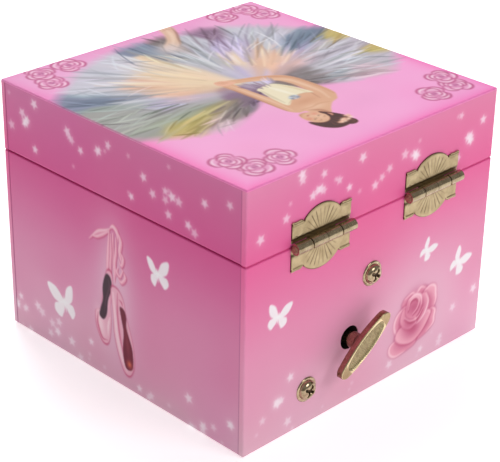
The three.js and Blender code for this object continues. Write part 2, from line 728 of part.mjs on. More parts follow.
function addComb() {
  const toothWidth = 0.46;
  const toothHalf = 0.35;
  let comb = solidOf(block(
    COMB_LEFT, COMB_RIGHT, COMB_FACE - COMB_THICKNESS, COMB_FACE, COMB_ROOT, COMB_END,
  ));
  for (let note = 0; note < NOTES; note += 1) {
    const x = FIRST_NOTE + note * NOTE_PITCH;
    const tooth = plateYZ(
      polygon(
        [AXLE_Y - 0.2, COMB_TIP], [AXLE_Y + 0.2, COMB_TIP],
        [AXLE_Y + toothHalf, COMB_ROOT + 0.3], [AXLE_Y - toothHalf, COMB_ROOT + 0.3],
      ),
      x - toothWidth / 2,
      x + toothWidth / 2,
    );
    comb = comb.add(solidOf(tooth));
  }
  const holes = COMB_SCREW_X.map(
    (x) => rodY(1.2, COMB_FACE - 3, COMB_FACE + 1, x, COMB_SCREW_Z, 14),
  );
  add('comb', cut(geometryOf(comb), ...holes), FINISH.steel);
}

// a small cheese-head screw along Y whose head sits on the face at y and points away from the wall
function smallScrew(x, y, z, radius, length) {
  const head = radius * 1.9;
  const profile = [
    [0, y - 1.1],
    [head - 0.2, y - 1.1],
    [head, y - 0.9],
    [head, y],
    [radius, y],
    [radius, y + length],
    [0, y + length],
  ];
  const slot = block(x - head - 1, x + head + 1, y - 2, y - 0.6, z - 0.2, z + 0.2);
  return cut(turnedY(profile, x, z, 10), slot);
}

function addCombScrews() {
  COMB_SCREW_X.forEach((x, i) => {
    const screw = smallScrew(x, COMB_FACE - COMB_THICKNESS, COMB_SCREW_Z, 0.95, 6);
    add(`comb_screw_${i + 1}`, screw, FINISH.steel);
  });
}

function addGovernor() {
  const [left, right] = GOVERNOR_FRAME;
  const plateFace = BED_FACE - GOVERNOR_PLATE;
  const plate = block(left, right, plateFace, BED_FACE, GOVERNOR_BOTTOM, GOVERNOR_PLATE_TOP);
  const root = plateFace + 0.5;
  const front = FAN_START - 4;
  const armFront = AXLE_Y - 2;
  const armTop = GOVERNOR_Z + 2;
  const armBottom = GOVERNOR_Z - 1.8;
  const innerArm = plateYZ(
    polygon(
      [front, GOVERNOR_BOTTOM], [root, GOVERNOR_BOTTOM], [root, armTop],
      [armFront, armTop], [armFront, GOVERNOR_LEDGE], [front, GOVERNOR_LEDGE],
    ),
    left,
    GOVERNOR_INNER_ARM,
  );
  const outerArm = plateYZ(
    polygon([armFront, armBottom], [root, armBottom], [root, armTop], [armFront, armTop]),
    GOVERNOR_OUTER_ARM,
    right,
  );
  const flange = block(
    left + 0.4, WORM_X + 1.8, front, FAN_START - 3, GOVERNOR_BOTTOM, GOVERNOR_LEDGE,
  );
  const bearing = GOVERNOR_SHAFT + 0.1;
  const frame = cut(
    join(plate, innerArm, outerArm, flange),
    rodX(bearing, left - 1, right + 1, AXLE_Y, GOVERNOR_Z, 14),
    rodY(bearing, FAN_START - 5, FAN_START - 2, WORM_X, WORM_Z, 14),
    rodY(bearing, plateFace - 1, BED_FACE - 0.4, WORM_X, WORM_Z, 14),
    rodY(1, plateFace - 1, BED_FACE + 1, ...GOVERNOR_SCREW, 12),
  );
  add('governor_frame', frame, FINISH.brass);
  const screw = smallScrew(GOVERNOR_SCREW[0], plateFace, GOVERNOR_SCREW[1], 0.75, 2.8);
  add('governor_screw', screw, FINISH.steel);

  const pinionRadius = GEAR_MODULE * GOVERNOR_PINION_TEETH / 2;
  const pinion = toothedShape(
    GOVERNOR_PINION_TEETH, pinionRadius - 0.5, pinionRadius + 0.3, 0.5, 0.26,
    Math.PI / 2 + Math.PI / GOVERNOR_PINION_TEETH,
  );
  const wheel = toothedShape(
    WORM_WHEEL_TEETH, WORM_WHEEL_RADIUS - 0.5, WORM_WHEEL_RADIUS + 0.28, 0.55, 0.3,
    -Math.PI / 2 + Math.PI / WORM_WHEEL_TEETH,
  );
  const governorWheel = join(
    rodX(GOVERNOR_SHAFT, left - 0.2, right + 0.3, 0, 0, 14),
    plateYZ(pinion, GEAR_X, GEAR_X + GEAR_WIDTH),
    plateYZ(wheel, WORM_WHEEL_X, WORM_WHEEL_X + WORM_WHEEL_WIDTH),
  ).translate(0, AXLE_Y, GOVERNOR_Z);
  add('governor_wheel', governorWheel, FINISH.brass);

  add('governor_worm', wormGeometry(), FINISH.steel);
  addFan();
}

// the worm: a turned shaft whose middle carries a right-hand thread of one start
function wormGeometry() {
  const lead = 2 * Math.PI * WORM_WHEEL_RADIUS / WORM_WHEEL_TEETH;
  const root = WORM_RADIUS - 0.42;
  const threadHeight = 0.75;
  const start = AXLE_Y - 2.2 * lead;
  const end = AXLE_Y + 2.2 * lead;
  const stepsPerTurn = 7;
  const steps = Math.round((end - start) / lead * stepsPerTurn);
  const shaftEnd = BED_FACE - 0.6;
  const journal = 0.45;
  const profile = [[0, FAN_START - 4.2], [journal, FAN_START - 4.2], [journal, start - 0.3]];
  for (let i = 0; i <= steps; i += 1) {
    profile.push([root, start + (end - start) * i / steps]);
  }
  profile.push([journal, end + 0.3], [journal, shaftEnd], [0, shaftEnd]);
  const sides = 12;
  const worm = turnedY(profile, 0, 0, sides);
  const position = worm.attributes.position;
  for (let i = 0; i < position.count; i += 1) {
    const x = position.getX(i);
    const y = position.getY(i);
    const z = position.getZ(i);
    const radius = Math.hypot(x, z);
    if (Math.abs(radius - root) > 0.01 || y < start + 0.05 || y > end - 0.05) continue;
    const turn = Math.atan2(x, z) / (2 * Math.PI);
    const phase = (y - AXLE_Y) / lead - turn;
    const fromCrest = Math.abs(phase - Math.round(phase));
    const rise = Math.max(0, 1 - fromCrest * 4.2) * threadHeight;
    position.setXYZ(i, x * (root + rise) / root, y, z * (root + rise) / root);
  }
  return geometryOf(solidOf(worm)).translate(WORM_X, 0, WORM_Z);
}

function addFan() {
  const hub = withHole(new THREE.Shape().absarc(0, 0, 1, 0, Math.PI * 2), 0.5);
  const hubSolid = plateXZ(hub, FAN_START, FAN_START + FAN_LENGTH, 8);
  const wing = 0.35;
  const low = FAN_START + 0.4;
  const high = FAN_START + FAN_LENGTH - 0.4;
  const fan = join(
    hubSolid,
    block(0.8, FAN_RADIUS, low, high, -wing / 2, wing / 2),
    block(-FAN_RADIUS, -0.8, low, high, -wing / 2, wing / 2),
  );
  add('governor_fan', fan.translate(WORM_X, 0, WORM_Z), FINISH.brass);
}

// ---------- figure ----------

function addFigureDrive() {
  const low = KEY_Z + CROWN_RADIUS - CROWN_FACE / 2 + 0.1;
  const high = low + CROWN_FACE - 0.2;
  const shape = toothedShape(PINION_TEETH, PINION_ROOT, PINION_TIP, 0.95, 0.4, -Math.PI / 2);
  const collar = turnedZ(
    [[0, DECK_TOP + 0.4], [2.4, DECK_TOP + 0.4], [2.4, SPRING_BOTTOM - 0.3], [1.8, SPRING_BOTTOM],
      [0, SPRING_BOTTOM]],
    0, 0, 20,
  );
  const spindle = join(
    plateXY(shape, low, high),
    rodZ(SPINDLE_RADIUS, low + 0.1, DECK_TOP + 1, 0, 0, 18),
    collar,
  ).translate(KEY_X, AXLE_Y, 0);
  add('figure_spindle', spindle, FINISH.brass);

  const [armLow, armHigh] = SPINDLE_ARM;
  const half = 3.5;
  const footFace = BED_FACE - 1.1;
  const arm = block(KEY_X - half, KEY_X + half, AXLE_Y - 2.6, BED_FACE, armLow, armHigh);
  const foot = block(KEY_X - half, KEY_X + half, footFace, BED_FACE, armLow, SPINDLE_FOOT_TOP);
  const bracket = cut(
    join(arm, foot),
    rodZ(SPINDLE_RADIUS + 0.1, armLow - 1, armHigh + 1, KEY_X, AXLE_Y, 18),
    rodY(1, BED_FACE - 2, BED_FACE + 1, ...SPINDLE_SCREW, 12),
  );
  add('spindle_bracket', bracket, FINISH.zinc);
  const screw = smallScrew(SPINDLE_SCREW[0], footFace, SPINDLE_SCREW[1], 0.75, 2.6);
  add('spindle_screw', screw, FINISH.steel);
}

function addFigureSpring() {
  const wire = 0.32;
  const radius = 2.1;
  const turns = 5;
  const stepsPerTurn = 10;
  const low = SPRING_BOTTOM + wire + 0.05;
  const high = SPRING_TOP - wire;
  const points = [];
  for (let i = 0; i <= turns * stepsPerTurn; i += 1) {
    const angle = i / stepsPerTurn * 2 * Math.PI;
    const z = low + (high - low) * i / (turns * stepsPerTurn);
    points.push([KEY_X + radius * Math.cos(angle), AXLE_Y + radius * Math.sin(angle), z]);
  }
  add('figure_spring', tube(points, wire, turns * stepsPerTurn, 6), FINISH.steel);
}

function addFigure() {
  const z = (above) => SPRING_TOP + above;
  const body = turnedZ(
    [
      [0, FIGURE_BOTTOM], [1.3, FIGURE_BOTTOM], [1.3, z(0.2)], [2.2, z(0.2)], [2.2, z(0.8)],
      [0.6, z(1.1)], [0.5, z(1.8)], [0.85, z(4.5)], [0.8, z(6)], [1.25, z(8.6)], [1.55, z(9.4)],
      [1.0, z(11.1)], [1.5, z(13)], [1.75, z(13.9)], [0.6, z(14.6)], [0.5, z(15.2)], [0, z(15.2)],
    ],
    0, 0, 14,
  );
  const head = new THREE.SphereGeometry(1.45, 12, 8).scale(0.88, 0.95, 1.1).translate(0, 0, z(16.6));
  const bun = new THREE.SphereGeometry(0.7, 8, 6).translate(0, 0.75, z(17.8));
  const arms = [-1, 1].map((side) => tube(
    [
      [side * 1.3, 0, z(13.7)], [side * 3.0, -0.3, z(14.9)], [side * 3.5, -0.6, z(17)],
      [side * 2.4, -0.7, z(19.2)], [side * 0.7, -0.7, z(20.3)],
    ],
    0.38, 9, 6,
  ));
  const figure = join(body, head, bun, ...arms).translate(KEY_X, AXLE_Y, 0);
  add('dancer_figure', figure, FINISH.dancer);

  const skirt = turnedZ(
    [
      [2.0, z(8.9)], [4, z(9.1)], [6.4, z(8.6)], [8.2, z(7.8)], [8.4, z(8.3)], [6.4, z(9.5)],
      [4, z(10.1)], [2.0, z(10.0)], [2.0, z(8.9)],
    ],
    KEY_X, AXLE_Y, 20,
  );
  add('dancer_tutu', skirt, FINISH.net);
}

function addStopRod() {
  const rod = rodZ(ROD_RADIUS, ROD_BOTTOM, LID_BOTTOM - 0.3, ROD_X, ROD_Y, 12);
  const shoe = block(ROD_X - 1.4, ROD_X + 0.9, ROD_Y - 0.3, ROD_Y + 0.3, ROD_BOTTOM, ROD_BOTTOM + 3);
  add('stop_rod', join(rod, shoe), FINISH.steel);
}

// ---------- assembly ----------

addBase();
addCompartment();
addLid();
addHinge('left', -HINGE_X);
addHinge('right', HINGE_X);
addKey();
addMountingScrew('movement_screw_upper', SCREW_UPPER);
addMountingScrew('movement_screw_lower', SCREW_LOWER);
addBedplate();
addSpringBarrel();
addWindingArbor();
addCrownWheel();
addCylinder();
addBearingBrackets();
addComb();
addCombScrews();
addGovernor();
addFigureDrive();
addFigureSpring();
addFigure();
addStopRod();

export default box;
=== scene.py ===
"""Wind-up music box: the looks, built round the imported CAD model.

Everything is in the CAD frame: +Z up, the hinges and the key at +Y. Scene lengths are metres;
the MM factor turns the millimetres that the shapes are drawn in into metres.
"""

import math

import bmesh
import bpy
import numpy as np
from mathutils import Matrix, Vector


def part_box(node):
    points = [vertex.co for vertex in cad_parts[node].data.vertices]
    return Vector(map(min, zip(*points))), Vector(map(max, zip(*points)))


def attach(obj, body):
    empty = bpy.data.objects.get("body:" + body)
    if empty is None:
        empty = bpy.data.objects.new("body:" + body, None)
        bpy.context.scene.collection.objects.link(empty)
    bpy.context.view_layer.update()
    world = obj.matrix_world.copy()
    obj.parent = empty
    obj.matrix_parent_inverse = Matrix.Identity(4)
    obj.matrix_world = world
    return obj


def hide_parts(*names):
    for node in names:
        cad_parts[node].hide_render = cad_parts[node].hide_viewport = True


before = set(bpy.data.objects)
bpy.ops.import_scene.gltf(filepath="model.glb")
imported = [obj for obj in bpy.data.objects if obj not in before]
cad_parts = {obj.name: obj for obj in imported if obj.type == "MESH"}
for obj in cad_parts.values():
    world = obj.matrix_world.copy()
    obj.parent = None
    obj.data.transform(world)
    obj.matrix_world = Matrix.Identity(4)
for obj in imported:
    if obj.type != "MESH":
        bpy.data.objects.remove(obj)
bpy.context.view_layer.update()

MM = 0.001
WIDE_MM = 108.0  # the box is as deep as it is wide
HALF_MM = WIDE_MM / 2
TOP_MM = 86.5
BASE_TOP_MM = 62.9  # the base's walls end here
LID_LOW_MM = 63.5  # and the lid's rails begin here
SEAM_MM = 63.2
FELT_MM = 0.6
WALL_MM = 5.0


def box_mm(node):
    """A CAD node's lowest and highest corners in millimetres."""
    low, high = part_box(node)
    return np.array(low) / MM, np.array(high) / MM


def middle_mm(node):
    low, high = box_mm(node)
    return (low + high) / 2


def assign(piece, body, node=None):
    """Puts a piece in its body, and hides the CAD node that it replaces."""
    if node:
        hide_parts(node)
    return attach(piece, body)


def bell(x, width):
    """1 where x is nought, and less away from it."""
    return np.exp(-((x / width) ** 2))


def step_up(x, width):
    """Nought where x is negative and 1 where it is positive, with a soft change between."""
    return 1 / (1 + np.exp(-x / width))


def blend(first, second, share):
    """The first colours with a share of the second."""
    return first + share * (np.array(second) - first)


def linear_rgb(colour):
    """Display colours from 0 to 255 as the linear colours that shaders take."""
    share = np.asarray(colour, float) / 255
    return np.where(share <= 0.04045, share / 12.92, ((share + 0.055) / 1.055) ** 2.4)


# ---------- camera ----------

LENS_MM, SENSOR_MM = 117.57, 36.0
AZIMUTH, ELEVATION, ROLL = math.radians(134.919), math.radians(27.117), math.radians(1.0132)
SIDEWAYS, UPWARDS, AWAY = 0.00163, 0.03157, 0.5433


def make_camera():
    """The view that the photo was taken from, fitted to the box's corners."""
    back = Vector((
        math.sin(AZIMUTH) * math.cos(ELEVATION),
        -math.cos(AZIMUTH) * math.cos(ELEVATION),
        math.sin(ELEVATION),
    ))
    right = Vector((0, 0, 1)).cross(back).normalized()
    up = back.cross(right)
    across = right * math.cos(ROLL) + up * math.sin(ROLL)
    upright = up * math.cos(ROLL) - right * math.sin(ROLL)
    data = bpy.data.cameras.new("camera")
    data.lens, data.sensor_width = LENS_MM, SENSOR_MM
    data.clip_start, data.clip_end = 0.01, 50
    camera = bpy.data.objects.new("camera", data)
    bpy.context.scene.collection.objects.link(camera)
    place = across * SIDEWAYS + upright * UPWARDS + back * AWAY
    turn = Matrix((across, upright, back)).transposed().to_4x4()
    camera.matrix_world = Matrix.Translation(place) @ turn
    bpy.context.scene.camera = camera


make_camera()

# ---------- light ----------

AIM = Vector((0, 0, 0.04))
DAYLIGHT = (1, 0.99, 0.985, 1)


def area_light(name, place, size, watts):
    """A square light that looks at the middle of the box."""
    data = bpy.data.lights.new(name, "AREA")
    data.shape, data.size, data.energy = "SQUARE", size, watts
    lamp = bpy.data.objects.new(name, data)
    bpy.context.scene.collection.objects.link(lamp)
    lamp.location = place
    lamp.rotation_euler = (AIM - Vector(place)).to_track_quat("-Z", "Y").to_euler()


def make_light():
    """A pale sky and three soft lights."""
    scene = bpy.context.scene
    scene.view_settings.view_transform = "Standard"
    scene.view_settings.look = "None"
    world = bpy.data.worlds.new("studio")
    world.use_nodes = True
    sky = world.node_tree.nodes["Background"].inputs
    sky["Color"].default_value, sky["Strength"].default_value = DAYLIGHT, 0.31
    scene.world = world
    area_light("key_light", place=(-0.25, 1.5, 1.35), size=0.9, watts=11.7)
    area_light("fill_light", place=(1.5, 0.3, 0.7), size=1.0, watts=0.15)
    area_light("top_light", place=(-0.5, -0.7, 1.1), size=0.8, watts=12.2)


make_light()
# ---------- painting the printed papers ----------
# Lengths here are millimetres on the sheet; colours are display values from 0 to 255.


def through(points, closed=False, steps=6):
    """A smooth line through points."""
    p = np.asarray(points, float)
    if closed:
        p = np.vstack([p[-1:], p, p[:2]])
    else:
        p = np.vstack([2 * p[0] - p[1], p, 2 * p[-1] - p[-2]])
    t = np.linspace(0, 1, steps, endpoint=False)[:, None]
    spans = []
    for a, b, c, d in zip(p[:-3], p[1:-2], p[2:-1], p[3:]):
        bend = (c - a) * t + (2 * a - 5 * b + 4 * c - d) * t**2 + (3 * b - a - 3 * c + d) * t**3
        spans.append(b + bend / 2)
    line = np.vstack(spans)
    return line if closed else np.vstack([line, p[-2]])


def placed(points, centre, size=1.0, turn=0.0, squeeze=1.0):
    """Points turned by turn degrees, scaled and moved to centre."""
    p = np.asarray(points, float) * [squeeze, 1]
    c, s = math.cos(math.radians(turn)), math.sin(math.radians(turn))
    return p @ np.array([[c, s], [-s, c]]) * size + centre


def arc(angles, wide, tall=None):
    """Points round a circle or an oval."""
    tall = wide if tall is None else tall
    return [(wide * math.cos(a), tall * math.sin(a)) for a in angles]


def grown(line, by, middle=None):
    """An outline made larger or smaller about its middle."""
    middle = line.mean(0) if middle is None else middle
    return middle + (line - middle) * by


def rounded(points, by=1.0):
    """A smooth closed outline through points, grown about its middle."""
    return grown(through(points, True), by)


def beside(u, v, start, end):
    """Each place's nearest point on a straight line, as a share of its length, and the way there."""
    du, dv = end - start
    share = np.clip(((u - start[0]) * du + (v - start[1]) * dv) / (du * du + dv * dv + 1e-12), 0, 1)
    return share, u - start[0] - share * du, v - start[1] - share * dv


class Print:
    """A painted sheet: display colours on a grid of points."""

    def __init__(self, across, up):
        self.across, self.up = across, up
        self.u, self.v = np.meshgrid(across, up)
        self.rgb = np.zeros(self.u.shape + (3,))

    def near(self, points, reach):
        """The window of the grid within reach of points."""
        low, high = points.min(0) - reach, points.max(0) + reach
        columns = slice(*np.searchsorted(self.across, [low[0], high[0]]))
        rows = slice(*np.searchsorted(self.up, [low[1], high[1]]))
        return rows, columns

    def lay(self, window, cover, colour):
        """Lays a colour over the window as thickly as cover says."""
        under = self.rgb[window]
        under += cover[..., None] * (np.asarray(colour, float) - under)

    def shape(self, outline, colour, soft=0.3, strength=1.0):
        """Fills a closed outline; soft is the width of its edge."""
        line = np.asarray(outline, float)
        window = self.near(line, soft)
        u, v = self.u[window], self.v[window]
        nearest = np.full(u.shape, 1e9)
        inside = np.zeros(u.shape, bool)
        for start, end in zip(line, np.roll(line, -1, axis=0)):
            _, off_u, off_v = beside(u, v, start, end)
            nearest = np.minimum(nearest, off_u**2 + off_v**2)
            if start[1] != end[1]:
                slope = (end[0] - start[0]) * (v - start[1]) / (end[1] - start[1])
                inside ^= ((start[1] > v) != (end[1] > v)) & (u < slope + start[0])
        signed = np.where(inside, 1, -1) * np.sqrt(nearest)
        colour = colour[window] if isinstance(colour, np.ndarray) and colour.ndim == 3 else colour
        self.lay(window, strength * np.clip(0.5 + signed / soft, 0, 1), colour)

    def stroke(self, points, width, colour, soft=0.3, strength=1.0, taper=(0.3, 0.1)):
        """A brush stroke along a smooth line, narrower at its ends."""
        line = through(points, steps=4)
        window = self.near(line, width / 2 + soft)
        u, v = self.u[window], self.v[window]
        if not u.size:
            return
        share = np.linspace(0, 1, len(line))
        half = width / 2 * np.interp(share, [0, 0.35, 0.65, 1], [taper[0], 1, 1, taper[1]])
        edge = np.full(u.shape, 1e9)
        for start, end, thick, next_thick in zip(line[:-1], line[1:], half[:-1], half[1:]):
            along, off_u, off_v = beside(u, v, start, end)
            gap = np.hypot(off_u, off_v) - thick - along * (next_thick - thick)
            edge = np.minimum(edge, gap)
        self.lay(window, strength * np.clip(0.5 - edge / soft, 0, 1), colour)

    def strokes(self, lines, at=(0, 0), size=1.0, turn=0.0):
        """Strokes of (width, colour, softness, strength, points), placed together."""
        for width, colour, soft, strength, points in lines:
            self.stroke(placed(points, at, size, turn), width, colour, soft, strength)

    def glow(self, centre, radii, colour, strength=1.0, turn=0.0):
        """A soft round patch."""
        window = self.near(np.array([centre]), 2.4 * max(radii))
        u, v = self.u[window] - centre[0], self.v[window] - centre[1]
        c, s = math.cos(math.radians(turn)), math.sin(math.radians(turn))
        far = ((u * c + v * s) / radii[0]) ** 2 + ((v * c - u * s) / radii[1]) ** 2
        self.lay(window, strength * np.exp(-far), colour)

    def star(self, centre, radius, dice, strength):
        """A five-pointed star in a faint glow."""
        turn = dice.uniform(0, 72)
        spikes = [arc([k * math.pi / 5], 0.5 if k % 2 else 1)[0] for k in range(10)]
        self.glow(centre, (radius, radius), STAR, 0.35 * strength)
        self.shape(placed(spikes, centre, radius, turn), STAR, 0.55, strength)

    def butterfly(self, centre, size, turn, near=1.0, far=0.7):
        """A plain white paper butterfly; near and far are how wide its two sides stand open."""
        for side, wide in ((1, near), (-1, far)):
            for wing in (UPPER_WING, LOWER_WING):
                outline = placed(wing, centre, size, turn, side * wide)
                self.shape(through(outline, True), WHITE, 0.35, 0.93)
        self.stroke(placed([(0, -0.3), (0, 0), (0, 0.22)], centre, size, turn), 0.07 * size, WHITE)


WHITE = (246, 243, 245)
STAR = (250, 232, 241)
STAR_MM = 1.5  # a star's radius
UPPER_WING = [
    (0.0, 0.02), (0.1, 0.2), (0.3, 0.46), (0.6, 0.58), (0.72, 0.52), (0.66, 0.28), (0.5, 0.06),
    (0.22, -0.04),
]
LOWER_WING = [
    (0.0, 0.04), (0.3, -0.02), (0.52, -0.08), (0.58, -0.28), (0.46, -0.44), (0.3, -0.5), (0.2, -0.4),
    (0.08, -0.24),
]


def scatter(paint, spots, seed):
    """Stars at spots of (across, up, how many together)."""
    dice = np.random.default_rng(seed)
    for u, v, count in spots:
        for _ in range(count):
            size = STAR_MM * dice.uniform(0.85, 1.25)
            shift = dice.normal(0, 0.75 * STAR_MM, 2) * (count > 1)
            paint.star((u + shift[0], v + shift[1]), size, dice, dice.uniform(0.45, 0.75))


def blush(paint, low, high, foot):
    """The pink ground of a side, from its top through the seam to its paler foot."""
    v = paint.v
    share = np.clip(v / SEAM_MM, 0, 1)[..., None] ** 1.1
    ground = blend(np.array(foot), low, share)
    above = np.clip((v - SEAM_MM) / (TOP_MM - SEAM_MM), 0, 1)[..., None]
    paint.rgb[:] = ground + (np.array(high) - np.array(low)) * above
    dice = np.random.default_rng(5)
    for _ in range(26):
        centre = (dice.uniform(0, WIDE_MM), dice.uniform(0, TOP_MM))
        tint = np.array(low) + dice.uniform(-10, 16, 3) * [0.4, 1, 0.8]
        paint.glow(centre, dice.uniform(8, 22, 2), tint, 0.16)


# a garden rose's petals, each with the depth of its tone, the first and last points of its pale rim,
# the place where it is shaded, and its outline
ROSE_PETALS = [
    (0.5, (1, 5), (0.02, 0.34), [
        (-0.22, 0.3), (-0.2, 0.42), (-0.06, 0.47), (0.02, 0.42), (0.12, 0.5), (0.24, 0.42), (0.1, 0.2),
    ]),
    (0.3, (1, 6), (0.22, 0.16), [
        (0.1, 0.2), (0.18, 0.4), (0.3, 0.45), (0.4, 0.4), (0.42, 0.28), (0.43, 0.14), (0.36, 0.0),
        (0.2, -0.04),
    ]),
    (0.6, (1, 5), (0.16, -0.12), [
        (0.12, 0.0), (0.34, 0.06), (0.43, 0.0), (0.42, -0.12), (0.41, -0.23), (0.28, -0.32),
        (0.08, -0.36), (0.0, -0.2),
    ]),
    (0.45, (1, 5), (-0.14, -0.24), [
        (-0.2, -0.12), (-0.34, -0.2), (-0.44, -0.26), (-0.44, -0.38), (-0.33, -0.47), (-0.14, -0.46),
        (0.06, -0.4), (0.04, -0.24),
    ]),
    (0.35, (0, 4), (-0.16, 0.02), [
        (-0.16, 0.3), (-0.32, 0.22), (-0.38, 0.06), (-0.32, -0.12), (-0.2, -0.24), (-0.06, -0.14),
        (-0.1, 0.1),
    ]),
    (0.1, (5, 8), (0.0, -0.14), [
        (-0.24, -0.02), (-0.34, -0.16), (-0.22, -0.3), (0.0, -0.36), (0.2, -0.24), (0.34, -0.02),
        (0.28, 0.04), (0.14, -0.06), (-0.04, -0.1),
    ]),
    (0.25, (1, 5), (0.1, 0.1), [
        (0.1, 0.34), (0.22, 0.36), (0.28, 0.2), (0.22, 0.02), (0.1, -0.08), (0.0, -0.08), (0.08, 0.12),
    ]),
    (0.15, (4, 6), (-0.06, 0.0), [
        (-0.2, 0.26), (-0.26, 0.1), (-0.2, -0.04), (-0.06, -0.12), (0.06, -0.06), (0.02, 0.06),
        (-0.1, 0.14),
    ]),
    (0.4, (1, 4), (0.0, 0.22), [
        (-0.16, 0.24), (-0.12, 0.38), (0.0, 0.42), (0.12, 0.36), (0.15, 0.2), (0.08, 0.06),
        (-0.04, 0.04), (-0.14, 0.12),
    ]),
]
ROSE_FOLDS = [
    (0.045, [(-0.11, 0.2), (-0.08, 0.33), (0.02, 0.36), (0.09, 0.28), (0.06, 0.16), (-0.02, 0.1)]),
    (0.03, [(-0.18, 0.1), (-0.06, 0.0), (0.08, 0.0), (0.18, 0.12)]),
]


def big_rose(paint, centre, size):
    """A garden rose about size across, with a pale glow round it."""
    paint.glow(centre, (0.95 * size, 0.9 * size), (232, 190, 208), 0.85)
    light, mid, deep = np.array((247, 188, 203)), (219, 124, 156), (176, 52, 98)
    flat = np.array([1, 0.88])
    for depth, (first, last), shade, outline in ROSE_PETALS:
        outline, shade = outline * flat, shade * flat
        edge = through(placed(outline, centre, size), True)
        paint.shape(grown(edge, 1.06), deep, 1.4, 0.55)
        paint.shape(edge, blend(light, mid, depth), 0.6)
        shaded = placed([shade], centre, size)[0]
        paint.glow(shaded, (0.17 * size, 0.14 * size), deep, 0.62)
        rim = placed(outline[first:last + 1], centre, size)
        paint.stroke(grown(rim, 0.88, shaded), 0.09 * size, (240, 168, 190), 1.4, 0.55)
        paint.stroke(grown(rim, 0.97, shaded), 0.03 * size, (252, 212, 222), 0.45, 0.9)
    for width, line in ROSE_FOLDS:
        line = placed(line * flat, centre, size)
        paint.stroke(line - [0, 0.018 * size], width * size, deep, 0.8, 0.75)
        paint.stroke(line + [0, 0.012 * size], 0.7 * width * size, (244, 188, 202), 0.6, 0.9)


def sketched_rose(paint, centre, radius, seed):
    """A small pale rose: overlapping petals edged with a darker line round a folded bud."""
    dice = np.random.default_rng(seed)
    paint.glow(centre, (radius, 0.9 * radius), (240, 176, 214), 0.7)
    turn = dice.uniform(0, 360)
    line, light, fill = (190, 74, 128), (252, 214, 233), (234, 160, 200)
    petal = np.array([
        (0.1, -0.75), (0.7, -0.68), (1.02, -0.2), (1.0, 0.28), (0.62, 0.74), (0.08, 0.74), (-0.3, 0.05),
    ])
    for shift, reach, count in ((0.36, 0.68, 4), (0.2, 0.52, 3), (0.07, 0.36, 2)):
        for k in range(count):
            angle = turn + 360 * k / count + reach * 150 + dice.uniform(-12, 12)
            size = radius * reach * dice.uniform(0.92, 1.1)
            at = placed([(1, 0)], centre, radius * shift, angle)[0]
            outline = through(placed(petal * [1, 1.1], at, size, angle), True)
            paint.shape(outline, fill, 0.5, 0.85)
            paint.glow(at - 0.25 * (at - centre), (0.34 * size, 0.3 * size), (206, 104, 160), 0.75)
            paint.stroke(placed(petal[:6] * [1, 1.1], at, size, angle), 0.85, line, 0.5, 0.85)
            paint.stroke(placed(petal[1:5] * [0.76, 0.88], at, size, angle), 0.8, light, 0.5, 0.95)
    for k in range(2):
        fold = arc(np.linspace(0.3 + 3 * k, 3.0 + 3 * k, 6), 0.2, 0.16)
        paint.stroke(placed(fold, centre, radius * (1 - 0.3 * k), turn), 0.5, (170, 78, 130), 0.45, 0.8)
